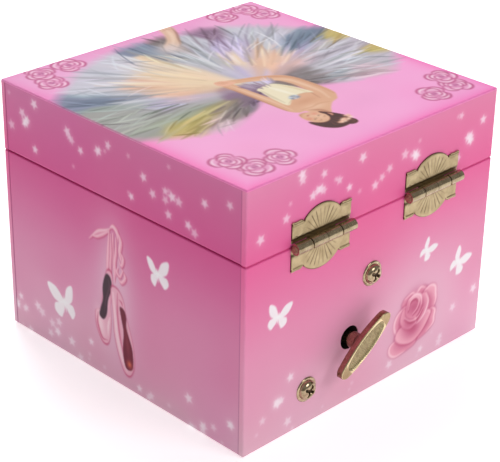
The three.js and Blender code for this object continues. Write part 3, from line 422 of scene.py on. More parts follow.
def slippers(paint, u, v):
    """A pair of ballet slippers hung by their ribbons, in a pale upright glow round (u, v)."""
    paint.glow((u, v - 1), (9.5, 25), (226, 190, 208), 0.75)
    paint.glow((u, v + 10), (6, 14), (232, 196, 212), 0.4)
    satin, shade, shine, ribbon = (232, 172, 192), (196, 70, 112), (250, 216, 224), (236, 160, 184)
    at = np.array([u, v])
    # the ribbons, each with its width
    for points, width in (
        ([(-1.2, 25), (-3.5, 23.6), (-7, 22), (-11, 18.2)], 1.5),
        ([(-1.6, 24), (-4.5, 22), (-7.5, 20.2), (-10, 19.6)], 1.1),
        ([(-1, 25.4), (0.4, 26.3), (2, 25), (2.6, 22)], 1.7),
        ([(2.2, 25.4), (3.6, 22.5), (3.1, 18.5), (4.4, 14.6)], 1.5),
        ([(3.2, 19), (4.6, 17), (3.8, 14.4), (2.6, 16)], 1.1),
        ([(-1.6, 24), (-2.3, 17), (-2.7, 12), (-3, 8.5)], 1.3),
        ([(0.2, 24), (-0.2, 18), (0.5, 12), (0.4, 7.5)], 1.4),
        ([(1.6, 23), (1.3, 18), (0.7, 14), (1.5, 10)], 1.1),
        ([(-0.9, 23.4), (-1.0, 17), (-1.4, 12), (-0.9, 8)], 0.9),
        ([(3.8, 13.4), (5.4, 11), (3.6, 8.6), (2, 9.8)], 1.1),
        ([(4.4, 12.8), (3, 10.4), (1.6, 11.6), (2.4, 13.4)], 0.9),
    ):
        line = placed(points, at)
        paint.stroke(line + [0.25, -0.2], width + 0.5, shade, 0.5, 0.6)
        paint.stroke(line, width, ribbon, 0.35)
        paint.stroke(line - [0.22, -0.05], width * 0.35, (247, 208, 219), 0.4, 0.85)
    left = [
        (-3.4, 9.5), (-1.0, 9.8), (-0.6, 5), (-1.8, -1), (-1.6, -7), (-3, -14.8), (-6, -15.6),
        (-8.7, -11), (-8.9, -6), (-6.4, -4), (-5.2, 2),
    ]
    paint.shape(rounded(left, 1.06) + at, shade, 0.7, 0.8)
    paint.shape(rounded(left) + at, satin, 0.5)
    paint.glow(at + [-6.9, -10], (1.7, 4.6), shine, 0.85, 12)
    paint.strokes([
        (0.8, shade, 0.5, 0.7, [(-7.9, -6.4), (-8.2, -10.2), (-6.2, -14.6), (-3.6, -14.6)]),
        (0.9, shine, 0.5, 0.8, [(-2.3, -6), (-3.1, -9), (-3.4, -13)]),
    ], at)
    sole = [
        (-3.6, 8.8), (-1.5, 8.2), (-1.1, 4.6), (-2.9, 0), (-3.7, -5.2), (-5.3, -7.7), (-7.2, -6.9),
        (-6.6, -4.2), (-5.4, -0.6), (-5.3, 4.2),
    ]
    paint.shape(rounded(sole) + at, (58, 26, 44), 0.5)
    paint.stroke(
        placed([(-2.6, 7.4), (-2.2, 4.6), (-4, -0.4), (-4.7, -5.4)], at), 0.5, (104, 60, 82), 0.5, 0.6,
    )
    right = [
        (-1.4, 4.5), (1.6, 5.4), (4.2, 2.6), (5.6, -3), (8, -10), (8.9, -17.5), (7.2, -22.4),
        (4.4, -22.6), (1.8, -18), (-0.2, -11), (-0.6, -4),
    ]
    paint.shape(rounded(right, 1.05) + at, shade, 0.7, 0.7)
    paint.shape(rounded(right) + at, satin, 0.5)
    paint.strokes([
        (1.4, shine, 0.8, 0.8, [(-0.5, 3.6), (0.2, -4), (1, -11), (3, -18), (5.4, -22)]),
        (0.8, shade, 0.6, 0.6, [(1.6, 4.2), (1.4, -3), (2.4, -11), (4, -17)]),
    ], at)
    sole = [
        (2.6, -0.2), (4.6, -0.6), (5.5, -3), (5.5, -6.8), (8, -13), (8.3, -19), (6.8, -21),
        (4.6, -20.4), (3.6, -15), (4.1, -8.6), (3, -3.4),
    ]
    paint.shape(rounded(sole) + at, (108, 18, 46), 0.5)
    paint.glow(at + [5.8, -12], (0.9, 5), (139, 44, 62), 0.8, 8)
    paint.glow(at + [6.6, -18.9], (1.1, 1.3), (222, 112, 80), 0.9)
    paint.stroke(placed([(2.3, 2.2), (3.4, 1.6), (3.9, 0.4)], at), 0.6, shade, 0.4, 0.7)


# the skirt's outline from the left arm round to the right arm, and its patches of colour, each with
# its middle and its reach
WAIST = (53.0, 58.0)
SKIRT = [
    (40, 68), (31, 72), (22, 75.5), (13, 77), (5, 71), (-2, 64), (-3, 50), (-3, 38), (6, 31), (12.5, 23.5),
    (21, 15.5), (30, 10.2), (39, 8.5), (52, 6.2), (66, 5.6), (80, 8.6), (92, 14.5), (103, 22.5), (111, 31),
    (112, 48), (111, 60), (103, 66.5), (94, 71.5), (82, 75), (71, 70.5), (61, 66), (53, 64), (46, 64),
]
SLATE, PLUM, UMBER, LILAC = (118, 132, 154), (134, 104, 132), (116, 104, 104), (196, 184, 220)
CREAM, PEACH, YELLOW, PEARL = (240, 214, 180), (240, 196, 166), (196, 178, 104), (200, 202, 212)
MIST, SAGE, ROSY = (192, 188, 198), (154, 160, 152), (212, 186, 196)
PATCHES = [
    (34, 63, 6, UMBER), (36, 56, 5, UMBER), (26, 67, 6, PEARL), (17, 71, 6, ROSY), (8, 67, 6, MIST),
    (3, 60, 4, YELLOW), (13, 61, 6, PEARL), (24, 58, 6, MIST), (4, 52, 5, MIST), (3, 43, 4, YELLOW),
    (14, 50, 6, MIST), (24, 50, 6, ROSY), (9, 37, 5, SLATE), (17, 37, 5, SLATE), (20, 44, 5, LILAC),
    (33, 45, 8, PEACH), (30, 37, 6, PEACH), (21, 30, 6, PEARL), (14, 27, 5, MIST), (25, 20, 6, PEARL),
    (33, 15, 5, PLUM), (36, 26, 6, LILAC), (41, 36, 6, CREAM), (42, 18, 5, PEARL), (47, 47, 5, LILAC),
    (54, 42, 5, LILAC), (54, 30, 7, PEARL), (50, 12, 4, UMBER), (57, 14, 4, SLATE), (63, 20, 5, CREAM),
    (62, 9, 4, SLATE), (66, 38, 10, CREAM), (76, 44, 7, PEACH), (60, 44, 5, CREAM), (80, 32, 6, PEACH),
    (73, 18, 6, PEARL), (84, 24, 6, PEARL), (74, 11, 5, PEARL), (93, 24, 6, PEARL), (91, 38, 6, MIST),
    (97, 34, 5, SLATE), (104, 30, 5, SLATE), (99, 43, 6, SAGE), (85, 49, 6, LILAC), (94, 53, 7, SAGE),
    (105, 50, 6, SAGE), (83, 57, 6, SAGE), (72, 54, 5, MIST), (64, 58, 5, PLUM), (66, 64, 4, PLUM),
    (74, 65, 6, UMBER), (82, 64, 5, YELLOW), (92, 66, 6, YELLOW), (101, 61, 5, SAGE), (83, 71, 6, ROSY),
    (94, 71, 4, YELLOW),
]


def skirt_tint(u, v):
    """The skirt's colour where (u, v) is."""
    total, weight = np.zeros(np.shape(u) + (3,)), np.zeros(np.shape(u) + (1,))
    for pu, pv, reach, colour in PATCHES:
        near = np.exp(-((u - pu) ** 2 + (v - pv) ** 2) / (0.62 * reach) ** 2)[..., None] + 1e-9
        total += near * colour
        weight += near
    return total / weight


def drawn_up_leg(paint):
    """The leg that reaches out of the skirt at the top edge."""
    leg = [
        (51.5, 17), (46.4, 14.4), (43, 9.4), (40.4, 5.6), (38.2, 1.6), (39.4, -1), (42.8, -1),
        (45, 4.6), (48.2, 9.4), (53, 13.6),
    ]
    paint.shape(through(leg, True), (227, 188, 160), 1.2, 0.95)
    paint.strokes([
        (1.5, (243, 212, 188), 1.0, 0.7, [(50, 14.5), (45.6, 10), (42.6, 5), (41, 0.5)]),
        (0.9, (152, 104, 88), 0.8, 0.7, [(47.2, 15.2), (43.4, 10), (40.6, 5.8), (38.6, 1.2)]),
        (0.8, (206, 150, 130), 0.6, 0.7, [(39.2, 3), (40.8, 1.6), (43.6, 2)]),
    ])
    paint.glow((52, 15.8), (5, 4.4), (219, 201, 198), 1.0)


def tulle(paint):
    """The dancer's wide skirt: layers of loose strokes that fan out from the waist."""
    dice = np.random.default_rng(11)
    outline = through(SKIRT, True)
    paint.glow((52, 40), (46, 30), (214, 190, 206), 0.55)
    paint.shape(outline, skirt_tint(paint.u, paint.v), 5.0, 0.93)
    spoke = outline - WAIST
    angles, reaches = np.arctan2(spoke[:, 1], spoke[:, 0]), np.hypot(spoke[:, 0], spoke[:, 1])
    order = np.argsort(angles)
    angles, reaches = angles[order], reaches[order]

    def strand(start, end, angle, sway, width, tone, strength, soft):
        """A stroke from one share of the way to the skirt's edge to another."""
        reach = np.interp(angle, angles, reaches, period=2 * math.pi)
        line = []
        for share in (0, 0.33, 0.67, 1):
            radius = reach * (start + (end - start) * share)
            turned = angle + sway * (share - 0.5)
            line.append((WAIST[0] + radius * math.cos(turned), WAIST[1] + radius * math.sin(turned)))
        colour = np.clip(skirt_tint(*line[2]) + tone, 20, 250)
        paint.stroke(line, width, colour, soft, strength, (0.4, 0.15))

    def strands(count, starts, lengths, farthest, sway, widths, strengths, soft, light=None):
        """Strokes at random; light is how many are bright, and how bright and how dark they are."""
        for _ in range(count):
            start = dice.uniform(*starts)
            if light:
                share, bright, dark = light
                tone = dice.uniform(*(bright if dice.uniform(0, 1) < share else dark))
            else:
                tone = dice.normal(-4, 17)
            tone = tone + dice.normal(0, 4, 3)
            end = min(start + dice.uniform(*lengths), farthest)
            angle, turned = dice.uniform(-math.pi, math.pi), dice.normal(0, sway)
            width, strength = dice.uniform(*widths), dice.uniform(*strengths)
            strand(start, end, angle, turned, width, tone, strength, soft)

    # the folds, and then the net's edges
    strands(300, (0.1, 0.62), (0.3, 0.55), 1.04, 0.05, (2.0, 5.0), (0.25, 0.55), 2.2)
    strands(430, (0.3, 0.8), (0.16, 0.4), 1.08, 0.06, (0.6, 1.5), (0.3, 0.7), 0.7,
            (0.5, (14, 42), (-72, -24)))
    for u, v, wide, tall, colour, strength in (
        (67, 39, 9, 8, CREAM, 0.75), (76, 40, 5, 9, PEACH, 0.5), (33, 45, 6, 6, PEACH, 0.6),
        (70, 27, 6, 8, CREAM, 0.5), (48, 45, 4, 6, LILAC, 0.5), (64, 58, 3, 5, PLUM, 0.6),
        (35, 60, 4, 5, UMBER, 0.55), (97, 34, 4, 3, SLATE, 0.6), (17, 36, 3, 4, SLATE, 0.6),
        (57, 14, 2, 4, SLATE, 0.7), (49, 11, 3, 3, UMBER, 0.6), (93, 66, 8, 2.5, YELLOW, 0.55),
        (54, 56, 4, 3, PEARL, 0.75), (2, 60, 4, 2.5, YELLOW, 0.6), (3, 42, 4, 2, YELLOW, 0.6),
        (33, 14, 3, 6, PLUM, 0.5),
    ):
        paint.glow((u, v), (wide, tall), colour, strength)
    drawn_up_leg(paint)
    # the topmost wisps
    strands(230, (0.5, 0.9), (0.1, 0.26), 1.06, 0.08, (0.4, 0.9), (0.35, 0.75), 0.45,
            (0.6, (20, 46), (-80, -30)))


def dancer(paint):
    """A seated dancer seen from above, looking down, with her hands in her lap."""
    skin, warm, shade, pale = (224, 172, 138), (206, 144, 110), (168, 104, 78), (240, 202, 172)
    arm_left = [
        (43.8, 80.6), (40.3, 77.8), (39.2, 73), (39.3, 66), (40, 60), (42, 56), (47.5, 52.2),
        (54.5, 49.4), (58.6, 48), (58.8, 50.6), (54, 53), (48.5, 56.4), (45.6, 59.6), (44.6, 65),
        (45.4, 72), (47, 78),
    ]
    chest = [
        (49.6, 84.4), (46.2, 81.8), (42, 79.8), (42.4, 74), (45, 71.4), (50, 70.2), (55, 72),
        (58.6, 74.6), (60.4, 78.4), (59.4, 80.6), (57, 81.4), (56.2, 86), (52.4, 87),
    ]
    arm_right = [
        (58.2, 80.6), (60.8, 79), (61.6, 74), (61.6, 66), (61.8, 58), (62.2, 51), (61.6, 48.6),
        (59, 48.6), (58.4, 52), (58.2, 60), (57.6, 68), (57.4, 75),
    ]
    for part in (arm_left, chest, arm_right):
        paint.shape(through(part, True), skin, 0.55)
    paint.strokes([
        (1.0, warm, 0.9, 0.75, [(40.4, 77), (39.9, 70), (40.4, 61), (42.6, 56.9), (48, 53), (55, 50.2)]),
        (1.3, pale, 1.2, 0.8, [(44.2, 78.6), (42.4, 73), (42.3, 66), (43, 60.4), (46, 57), (52, 53.6)]),
        (0.6, shade, 0.7, 0.5, [(46.4, 76.8), (45, 70), (45.2, 63.6), (46.6, 59.6)]),
        (0.7, shade, 0.7, 0.6, [(61.2, 77.4), (61.3, 68), (61.5, 58), (61.8, 51)]),
        (0.9, pale, 0.9, 0.7, [(59.6, 78), (59.2, 70), (59.6, 60), (60, 52)]),
    ])
    paint.glow((52.6, 80.4), (3.6, 1.8), pale, 0.65, -12)
    paint.glow((51.4, 75.6), (5, 2), warm, 0.5)
    paint.strokes([
        (0.6, warm, 0.7, 0.65, [(46.4, 80.8), (50, 79.7), (53.4, 80.2), (57.4, 79.6)]),
        (1.2, shade, 1.0, 0.6, [(52.2, 86.6), (53.2, 83.6), (55.6, 81.4)]),
    ])
    hands = [(56.6, 50.6), (58.8, 47.6), (61.8, 46.6), (62.8, 48.6), (61.6, 50.8), (58.6, 51.4)]
    paint.shape(through(hands, True), (236, 180, 152), 0.5)
    for shift in (0, 0.9, 1.8):
        paint.stroke([(58.4 + shift, 49.8), (59.4 + shift, 48.4), (60.2 + shift, 47)], 0.3, warm, 0.4, 0.8)
    bodice = [
        (44.6, 72.4), (47, 70.9), (50.4, 70.8), (54, 72.4), (57.9, 74.6), (57.8, 68), (56.6, 62),
        (56.2, 59.6), (52.2, 58.8), (48.8, 59.6), (46.4, 63.6), (45.2, 68),
    ]
    paint.shape(through(bodice, True), (240, 228, 196), 0.5)
    paint.strokes([
        (1.2, (220, 198, 158), 1.0, 0.7, [(46, 71), (46.6, 66), (48.6, 61)]),
        (1.0, (206, 190, 160), 0.9, 0.7, [(57.2, 72.6), (56.6, 66), (55.6, 60.4)]),
        (1.6, (250, 243, 222), 1.2, 0.8, [(50.4, 70), (51.2, 65), (52, 60)]),
        (0.45, (196, 160, 128), 0.4, 0.6, [(44.8, 72.3), (48, 70.9), (51, 71), (54.6, 72.6), (57.8, 74.4)]),
    ])
    dice = np.random.default_rng(4)
    for k, (u, v) in enumerate(arc(0.7 * np.arange(9), 1.3, 0.9)):  # the jewels at the neckline
        tint = ((150, 164, 190), (108, 120, 148), (206, 212, 226))[k % 3]
        paint.glow((51.9 + u, 71.3 + v), (0.7, 0.6), tint, 0.9)
    for _ in range(26):  # the gathers at the waist
        u, v = dice.uniform(47.5, 57), dice.uniform(57.5, 60.6)
        reach = dice.uniform(2, 5)
        tone = skirt_tint(u, v) + dice.uniform(-30, 46)
        line = [(u, v), (u + 0.25 * (u - 52), v - reach * 0.5), (u + 0.6 * (u - 52), v - reach)]
        paint.stroke(line, dice.uniform(0.4, 1), tone, 0.5, 0.7)
    face_and_hair(paint, skin, warm, shade, pale)


def face_and_hair(paint, skin, warm, shade, pale):
    """The dancer's bowed head: a plain oval face of even features, and hair pinned up in a bun."""
    at, tilt, size = np.array([58.0, 86.6]), 24, 1.03
    oval = [
        (0, 5.4), (2.9, 4.2), (3.8, 1.2), (3.3, -2), (1.9, -4.4), (0.2, -5.3), (-1.6, -4.5), (-3.2, -2),
        (-3.7, 1.2), (-2.9, 4.2),
    ]
    paint.shape(through(placed(oval, at, size, tilt), True), skin, 0.5)
    paint.glow(at + [-0.6, -0.6], (2.2, 3), pale, 0.7, tilt)
    for spot in ((-2.0, -1.6), (2.0, -1.6)):
        paint.glow(placed([spot], at, size, tilt)[0], (1.1, 0.9), (224, 128, 108), 0.55)
    for side in (-1, 1):
        lid = [(side * 0.75, 0.2), (side * 1.45, -0.12), (side * 2.2, 0.22)]
        brow = [(side * 0.7, 1.5), (side * 1.5, 1.8), (side * 2.4, 1.4)]
        paint.stroke(placed(lid, at, size, tilt), 0.4, (140, 92, 74), 0.45, 0.7)
        paint.stroke(placed(brow, at, size, tilt), 0.36, (164, 112, 86), 0.45, 0.55)
    paint.strokes([
        (0.35, warm, 0.45, 0.7, [(0.1, 1.0), (0.25, -0.4), (0.35, -1.3)]),
        (0.45, (188, 88, 84), 0.35, 0.85, [(-0.8, -2.7), (0, -2.85), (0.8, -2.7)]),
        (0.6, shade, 0.7, 0.45, [(-1.4, -4.2), (0.2, -5.0), (1.6, -4.2)]),
    ], at, size, tilt)
    hair, gloss = (68, 16, 8), (138, 78, 48)
    cap = [
        (-4.4, -0.6), (-5.1, 3.6), (-4.6, 7.2), (-2.2, 9.6), (1.4, 9.9), (4.6, 8.0), (5.9, 4.6),
        (5.5, 0.8), (4.3, -1.0), (3.5, 1.6), (2.4, 3.2), (0.4, 3.9), (-1.7, 3.2), (-3.1, 1.4),
        (-3.6, -0.6),
    ]
    paint.shape(through(placed(cap, at, size, tilt), True), hair, 0.45)
    for k in range(9):
        side = -3.6 + 0.95 * k
        lock = [(side * 0.55 - 0.4, 4.6), (side * 0.95, 6.4), (side * 0.8 - 0.6, 8.3 - 0.08 * side**2)]
        paint.stroke(placed(lock, at, size, tilt), 0.34, gloss if k % 2 else (52, 30, 24), 0.4, 0.6)
    bun = (52.7, 95.0)
    knot = [(2.3, 0), (1.6, 1.7), (0, 2.2), (-1.6, 1.6), (-2.2, 0), (-1.6, -1.7), (0, -2.2), (1.6, -1.7)]
    paint.shape(through(placed(knot, bun), True), hair, 0.45)
    for radius in (0.8, 1.4):
        paint.stroke(placed(arc(np.linspace(0.4, 4.6, 8), radius), bun), 0.35, gloss, 0.4, 0.55)
    dice = np.random.default_rng(8)
    for k in range(26):  # the wreath of small blossoms round the bun
        share = (k % 13) / 12
        u, v = 50.3 + 5.6 * share, 92.1 + 2.6 * share - share**2
        spot = (u + dice.normal(0, 0.3), v + dice.normal(0, 0.55))
        tint = ((246, 206, 178), (232, 168, 140), (252, 226, 206))[k % 3]
        paint.glow(spot, (0.62, 0.55), tint, 0.9)
    paint.stroke([(53.4, 86.4), (53, 87.8), (53.8, 88.6)], 0.9, (224, 160, 134), 0.4, 0.9)


def top_picture(paint):
    """The lid's top: the dancer on a lilac pink ground, with a rose spray in each corner."""
    u, v = paint.u, paint.v
    paint.rgb[:] = (252, 173, 222)
    border = np.minimum.reduce([u, WIDE_MM - u, v, WIDE_MM - v])
    rim = np.exp(-np.clip(border, 0, None) / 3.2)[..., None]
    paint.rgb = blend(paint.rgb, (251, 118, 190), rim)
    faded = 0.6 * np.clip(1 - v / 32, 0, 1)[..., None]
    paint.rgb = blend(paint.rgb, (234, 172, 212), faded)
    dice = np.random.default_rng(3)
    for _ in range(60):
        tint = np.array((247, 154, 211)) + dice.normal(0, 4, 3)
        paint.glow(dice.uniform(0, WIDE_MM, 2), dice.uniform(4, 12, 2), tint, 0.3, dice.uniform(0, 180))
    paint.glow((54, 88), (26, 16), (247, 170, 217), 0.5)
    tulle(paint)
    dancer(paint)
    sprays = [
        [(8, 98.2), (18.3, 98.2), (5.8, 90.8)], [(86.1, 98.9), (96.1, 98.9), (98.9, 91.3)],
        [(5.5, 12.4), (7.8, 4.9), (18.3, 4.9)], [(98.9, 13), (96.7, 4.9), (85.5, 4.9)],
    ]
    for k, spray in enumerate(sprays):
        for j, spot in enumerate(spray):
            sketched_rose(paint, np.array(spot), 4.9, 20 + 3 * k + j)


def side_ground(paint, seed, seam=(230, 98, 154), top=(225, 133, 172)):
    """A side's ground and its stray stars."""
    blush(paint, seam, top, (228, 200, 210))
    dice = np.random.default_rng(seed)
    for _ in range(16):
        low = dice.uniform(0, 1) < 0.6
        v = dice.uniform(1, 9) if low else dice.uniform(68, 84)
        paint.star((dice.uniform(2, WIDE_MM - 2), v), dice.uniform(0.6, 1.0), dice, 0.3)


def back_picture(paint):
    """The side with the hinges and the key: a large rose and three butterflies."""
    side_ground(paint, 31)
    big_rose(paint, (74.6, 17.2), 25)
    scatter(paint, [
        (21.1, 83.3, 2), (30.2, 82.2, 1), (30.6, 78.4, 3), (25.8, 76.7, 1), (36.7, 78.1, 1),
        (46.4, 82.2, 1), (41.1, 74.4, 1), (15.3, 73.1, 1), (5.3, 70, 1), (52.4, 71.4, 1),
        (57.6, 73.6, 2), (65.3, 77.3, 1), (70.2, 75.6, 3), (91.1, 82.2, 1), (96.1, 73.6, 4),
        (102.2, 77.8, 1), (91.1, 68.1, 1), (18.9, 20, 1), (13.9, 13.7, 4), (7.6, 9.8, 1),
        (18.3, 4.8, 1), (63.9, 5.3, 1), (94.4, 14.2, 1), (104.7, 17.3, 1), (88.9, 4.2, 2),
        (79.1, 4.8, 1),
    ], 7)
    paint.butterfly((13.1, 42.6), 7.4, -14, 0.95, 0.9)
    paint.butterfly((78.9, 40.6), 6.4, -42, 0.9, 0.6)
    paint.butterfly((95.4, 30.6), 8.0, -38, 0.95, 0.62)


def right_picture(paint):
    """The slippers, with a butterfly on each side, on a ground darker than the other sides': painted shade
    for the side turned away from the key light.
    """
    side_ground(paint, 47, (210, 80, 142), (207, 116, 162))
    slippers(paint, 51.7, 28.7)
    scatter(paint, [
        (16.1, 83.3, 1), (4.2, 72.9, 1), (10.6, 77, 4), (15.6, 68.1, 1), (32.6, 77.3, 3),
        (37.8, 75.1, 1), (45.3, 79.2, 2), (50.6, 81.1, 1), (60.6, 68.1, 1), (66.1, 76.2, 1),
        (70, 72.3, 1), (76.7, 72.6, 3), (81.1, 73.7, 1), (76.7, 68.1, 1), (85, 67.8, 1),
        (87.6, 66.2, 1), (91.7, 77, 1), (101.7, 80, 1), (4.2, 11.8, 1), (5, 8.4, 2), (1.7, 8.7, 2),
        (13.1, 11.8, 1), (15.3, 10.3, 1), (23.9, 10.3, 1), (23.6, 6.2, 3), (19.4, 4.4, 1),
        (30.2, 5.9, 1), (40, 10, 1), (34.4, 1.8, 1), (8.7, 0.9, 1), (62.8, 3.3, 1), (67.2, 1.8, 2),
        (85, 10.2, 1), (87.8, 1.6, 2), (91.7, 2.6, 3), (95.8, 5.1, 1), (101.1, 8.4, 2),
    ], 9)
    paint.butterfly((27.2, 18.9), 10.8, 14, 0.72, 0.95)
    paint.butterfly((71.7, 46.8), 8.6, 8, 0.92, 0.66)


def random_stars(paint, seed, on_lid, on_foot):
    """Stars along the lid and along the foot, each with how many and a seed."""
    dice = np.random.default_rng(seed)
    for (count, own_seed), heights in ((on_lid, (67, 83)), (on_foot, (2, 13))):
        spots = [(dice.uniform(4, 104), dice.uniform(*heights), dice.integers(1, 4)) for _ in range(count)]
        scatter(paint, spots, own_seed)


def left_picture(paint):
    """The side opposite the right one, with slippers too: its stars are in other places."""
    side_ground(paint, 53)
    slippers(paint, 58, 29.5)
    random_stars(paint, 61, (17, 10), (16, 12))
    paint.butterfly((30, 44), 11, -16, 0.95, 0.7)
    paint.butterfly((82, 22), 9.4, 22, 0.7, 0.95)


def front_picture(paint):
    """The side that opens: a rose and butterflies."""
    side_ground(paint, 59)
    big_rose(paint, (54, 24), 27)
    random_stars(paint, 67, (18, 14), (14, 15))
    paint.butterfly((22, 36), 10.5, 16, 0.7, 0.95)
    paint.butterfly((84, 44), 9.4, -20, 0.95, 0.66)
    paint.butterfly((93, 26), 7.6, -34, 0.95, 0.8)
# ---------- meshes ----------


def mesh_piece(name, points, faces, look):
    """A smooth-shaded piece from points in millimetres."""
    mesh = bpy.data.meshes.new(name)
    mesh.from_pydata((np.asarray(points, float) * MM).tolist(), [], faces)
    mesh.update()
    mesh.shade_smooth()
    piece = bpy.data.objects.new(name, mesh)
    bpy.context.scene.collection.objects.link(piece)
    if look is not None:
        mesh.materials.append(look)
    return piece


def outward(piece):
    """Turns the faces of a closed piece outwards."""
    shape = bmesh.new()
    shape.from_mesh(piece.data)
    bmesh.ops.recalc_face_normals(shape, faces=shape.faces)
    shape.to_mesh(piece.data)
    shape.free()
    return piece


def sharpen(piece, degrees=38):
    """Keeps edges crisp where the faces turn by more than an angle."""
    piece.data.set_sharp_from_angle(angle=math.radians(degrees))
    return piece


def grid_faces(rows, columns, first=0, round_rows=False, round_columns=False):
    """Quads over a grid of rows by columns of points, optionally closed in either direction."""
    r = np.arange(rows if round_rows else rows - 1)
    c = np.arange(columns if round_columns else columns - 1)
    r, c = [a.ravel() for a in np.meshgrid(r, c, indexing="ij")]
    below, beside_c = (r + 1) % rows, (c + 1) % columns
    quads = [r * columns + c, r * columns + beside_c, below * columns + beside_c, below * columns + c]
    return (np.stack(quads, 1) + first).tolist()


def grid_outline(rows, columns):
    """The border of a grid of points, as one ring."""
    right = [r * columns + columns - 1 for r in range(1, rows)]
    top = [(rows - 1) * columns + c for c in range(columns - 2, -1, -1)]
    left = [r * columns for r in range(rows - 2, 0, -1)]
    return list(range(columns)) + right + top + left


def bridge(one, other):
    """Quads between two rings of points."""
    after = np.roll(one, -1).tolist(), np.roll(other, -1).tolist()
    return [list(quad) for quad in zip(one, after[0], after[1], other)]


def pointed_tube(rows, columns):
    """Faces over rings of points that are closed by a point at each end, which come last."""
    faces = grid_faces(rows, columns, round_columns=True)
    first, last = rows * columns, (rows - 1) * columns
    for k in range(columns):
        after = (k + 1) % columns
        faces.append([first, after, k])
        faces.append([first + 1, last + k, last + after])
    return faces


def flat_ended_tube(rows, columns):
    """Faces over rings of points that are closed by a flat face at each end."""
    ends = [list(range(columns)), [(rows - 1) * columns + k for k in range(columns)]]
    return grid_faces(rows, columns, round_columns=True) + ends


def cut_with(piece, tool):
    """Cuts tool out of piece."""
    change = piece.modifiers.new("cut", "BOOLEAN")
    change.operation, change.object, change.solver = "DIFFERENCE", tool, "EXACT"
    graph = bpy.context.evaluated_depsgraph_get()
    mesh = bpy.data.meshes.new_from_object(piece.evaluated_get(graph))
    piece.modifiers.clear()
    old, piece.data = piece.data, mesh
    mesh.name = piece.name
    bpy.data.meshes.remove(old)
    bpy.data.objects.remove(tool)
    return piece


def full_turn(sides):
    return np.linspace(0, 2 * math.pi, sides, endpoint=False)


def lathe(name, profile, look, place=(0, 0, 0), axis="Z", sides=48):
    """A closed turned body from a profile of (radius, height), both ends on the axis."""
    profile = np.asarray(profile, float)
    angle = full_turn(sides)
    inner = profile[1:-1]
    rings = np.stack([
        inner[:, :1] * np.cos(angle), inner[:, :1] * np.sin(angle), np.repeat(inner[:, 1:], sides, 1),
    ], -1).reshape(-1, 3)
    points = np.vstack([rings, [[0, 0, profile[0, 1]], [0, 0, profile[-1, 1]]]])
    if axis == "Y":
        points = points[:, [0, 2, 1]]
    elif axis == "X":
        points = points[:, [2, 1, 0]]
    return outward(mesh_piece(name, points + place, pointed_tube(len(inner), sides), look))


def drilled(piece, radius, low, high, look, place, axis="Z", sides=48):
    """Bores a round hole through a piece."""
    profile = [(0, low), (radius, low), (radius, high), (0, high)]
    return cut_with(piece, lathe("drill", profile, look, place, axis, sides))


def swept(name, line, radius, look, sides=10, closed=False):
    """A round rod along a line of points; radius is a number or one for each point."""
    line = np.asarray(line, float)
    ahead = np.roll(line, -1, 0) - np.roll(line, 1, 0)
    if not closed:
        ahead[0], ahead[-1] = line[1] - line[0], line[-1] - line[-2]
    ahead /= np.linalg.norm(ahead, axis=1)[:, None]
    side = np.cross(ahead[0], [0.0, 0.0, 1.0])
    side = side if np.linalg.norm(side) > 0.1 else np.cross(ahead[0], [0.0, 1.0, 0.0])
    radius = np.broadcast_to(radius, len(line))
    angle = full_turn(sides)
    points = []
    for middle, way, thick in zip(line, ahead, radius):
        side = side - way * (side @ way)
        side /= np.linalg.norm(side)
        other = np.cross(way, side)
        points.append(middle + thick * (np.cos(angle)[:, None] * side + np.sin(angle)[:, None] * other))
    if closed:
        faces = grid_faces(len(line), sides, round_rows=True, round_columns=True)
    else:
        faces = flat_ended_tube(len(line), sides)
    return outward(mesh_piece(name, np.vstack(points), faces, look))
# ---------- materials ----------


def tone(colour):
    """A display colour from 0 to 255 as a shader's colour."""
    return tuple(linear_rgb(colour)) + (1.0,)


MIX_SHARE, MIX_FIRST, MIX_SECOND, MIX_RESULT = 0, 6, 7, 2  # a colour mix node's sockets


